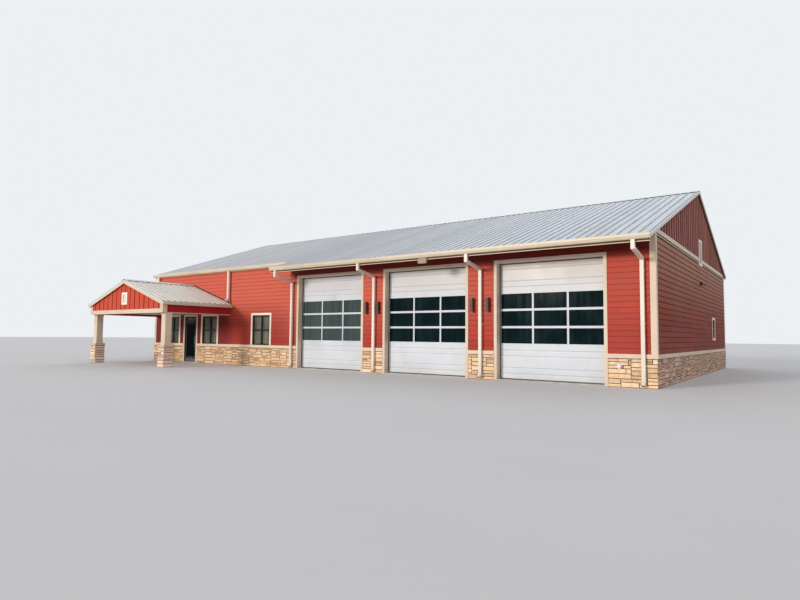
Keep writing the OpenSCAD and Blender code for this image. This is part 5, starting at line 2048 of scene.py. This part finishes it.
@dataclass
class Eave:
    """The boards under the deep eave."""

    plan: Plan
    boards: int = 7
    first: float = 0.02
    lengths: Span = (3.0, 4.8)
    thick: float = 0.008
    end_gap: float = 0.002
    side_gaps: Span = (0.002, 0.004)

    def build(self) -> None:
        """Adds the sloping soffit boards."""
        plan = self.plan
        out = plan.deep_out - plan.board_t
        foot = plan.under_deck(plan.front) - plan.board_t - plan.slope * out
        rise = Vector((0, math.cos(plan.tilt), math.sin(plan.tilt)))
        place = axes(Vector((0, plan.front - out, foot)), EAST, rise, EAST.cross(rise))
        piece = Piece("soffit_boards", SOFFIT, place)
        dice = random.Random("soffit")
        step = out / math.cos(plan.tilt) / self.boards
        near, far = self.side_gaps
        for index in range(self.boards):
            at = plan.deep_eave_x + self.first
            while at < plan.end:
                length = min(dice.uniform(*self.lengths), plan.end - at)
                piece.block((at, index * step + near, -self.thick),
                            (at + length - self.end_gap, (index + 1) * step - far, 0), dice.random())
                at += length
        piece.done()


@dataclass(frozen=True)
class Lamp:
    """One soft distant lamp, its angles in degrees: azimuth 0 is before the front, 90 at the left."""

    name: str
    strength: float
    spread: float
    azimuth: float
    height: float
    colour: Triple

    def hang(self) -> None:
        """Adds the lamp to the scene."""
        data = bpy.data.lights.new(self.name, "SUN")
        data.energy = self.strength
        data.angle = math.radians(self.spread)
        data.color = self.colour
        obj = bpy.data.objects.new(self.name, data)
        turn, rise = math.radians(self.azimuth), math.radians(self.height)
        level = Vector((math.sin(turn), math.cos(turn), 0)) * -math.cos(rise)
        towards = level + UP * math.sin(rise)
        obj.rotation_euler = towards.to_track_quat("Z", "Y").to_euler()
        bpy.context.scene.collection.objects.link(obj)


LAMPS = (Lamp("key", 2.4, 12.0, 22, 12, (1.0, 0.93, 0.84)),
         Lamp("side_fill", 0.75, 70.0, -60, 25, (1.0, 0.96, 0.93)),
         Lamp("top_fill", 0.45, 120.0, 0, 88, (0.94, 0.97, 1.0)),
         Lamp("back_fill", 0.6, 60.0, 150, 30, (0.95, 0.97, 1.0)))


@dataclass
class Studio:
    """The camera at the photograph's place, the floor, the lamps and the sky."""

    eye: Triple = (16.879, -24.238, 1.466)
    yaw: float = -35.873
    pitch: float = 3.655
    roll: float = 0.539
    lens: float = 25.666
    sensor: float = 36.0
    sight: float = 500.0
    reach: float = 220.0
    floor_drop: float = 0.004
    light: Colour = (0.92, 0.95, 1.0, 1)
    light_strength: float = 0.34
    backdrop: Colour = (0.84, 0.87, 0.9, 1)

    def camera(self) -> None:
        """Stands the camera and makes it the scene's."""
        data = bpy.data.cameras.new("camera")
        data.lens = self.lens
        data.sensor_width = self.sensor
        data.clip_end = self.sight
        obj = bpy.data.objects.new("camera", data)
        yaw, pitch, roll = (math.radians(angle) for angle in (self.yaw, self.pitch, self.roll))
        ahead = Vector((math.sin(yaw) * math.cos(pitch), math.cos(yaw) * math.cos(pitch), math.sin(pitch)))
        level = Vector((math.cos(yaw), -math.sin(yaw), 0))
        above = level.cross(ahead)
        right = math.cos(roll) * level + math.sin(roll) * above
        top = math.cos(roll) * above - math.sin(roll) * level
        obj.matrix_world = axes(Vector(self.eye), right, top, -ahead)
        bpy.context.scene.collection.objects.link(obj)
        bpy.context.scene.camera = obj

    def floor(self) -> None:
        """Lays the plain pale floor."""
        mesh = bmesh.new()
        bmesh.ops.create_grid(mesh, x_segments=1, y_segments=1, size=self.reach)
        data = bpy.data.meshes.new("floor")
        mesh.to_mesh(data)
        mesh.free()
        data.transform(Matrix.Translation((0, 0, -self.floor_drop)))
        data.materials.append(PALE_FLOOR.material())
        obj = bpy.data.objects.new("floor", data)
        bpy.context.scene.collection.objects.link(obj)

    def world(self) -> None:
        """A plain sky: soft light, with a pale backdrop for the camera and reflections."""
        world = bpy.data.worlds.new("studio")
        world.use_nodes = True
        bpy.context.scene.world = world
        nodes, links = world.node_tree.nodes, world.node_tree.links
        light = nodes["Background"]
        light.inputs["Color"].default_value = self.light
        light.inputs["Strength"].default_value = self.light_strength
        seen = nodes.new("ShaderNodeBackground")
        seen.inputs["Color"].default_value = self.backdrop
        path = nodes.new("ShaderNodeLightPath")
        rays = path.outputs["Is Camera Ray"]
        for kind in ("Is Glossy Ray", "Is Transmission Ray"):
            either = nodes.new("ShaderNodeMath")
            either.operation = "MAXIMUM"
            links.new(rays, either.inputs[0])
            links.new(path.outputs[kind], either.inputs[1])
            rays = either.outputs[0]
        mix = nodes.new("ShaderNodeMixShader")
        for index, socket in enumerate((rays, light.outputs[0], seen.outputs[0])):
            links.new(socket, mix.inputs[index])
        links.new(mix.outputs[0], nodes["World Output"].inputs["Surface"])

    def build(self) -> None:
        """Sets camera, floor and lights."""
        bpy.context.scene.view_settings.view_transform = "Standard"
        self.camera()
        self.floor()
        for lamp in LAMPS:
            lamp.hang()
        self.world()


def dress_nodes() -> None:
    """Gives each CAD node the finish of its slot, or its own."""
    slots = {part["node"]: part["material_slot"] for part in frame["record"]["subparts"]}
    for name, obj in frame["nodes"].items():
        material = NODE_OVERRIDES.get(name, NODE_FINISHES[slots[name]]).material()
        if not obj.material_slots:
            obj.data.materials.append(material)
        for slot in obj.material_slots:
            slot.material = material


def main() -> None:
    """Builds the scene, piece by piece."""
    logging.basicConfig(level=logging.INFO, format="%(name)s: %(message)s")
    plan = Plan()
    Studio().build()
    dress_nodes()
    cladding = Cladding(plan)
    roofing = Roofing(plan)
    portico = Portico(plan, roofing, cladding)
    for part in (cladding, StoneBase(plan), roofing, Eave(plan), portico, RainGoods(plan, portico),
                 BayDoors(plan), Windows(plan), Entry(plan), Fittings(plan, portico)):
        part.build()


if __name__ == "__main__":
    main()
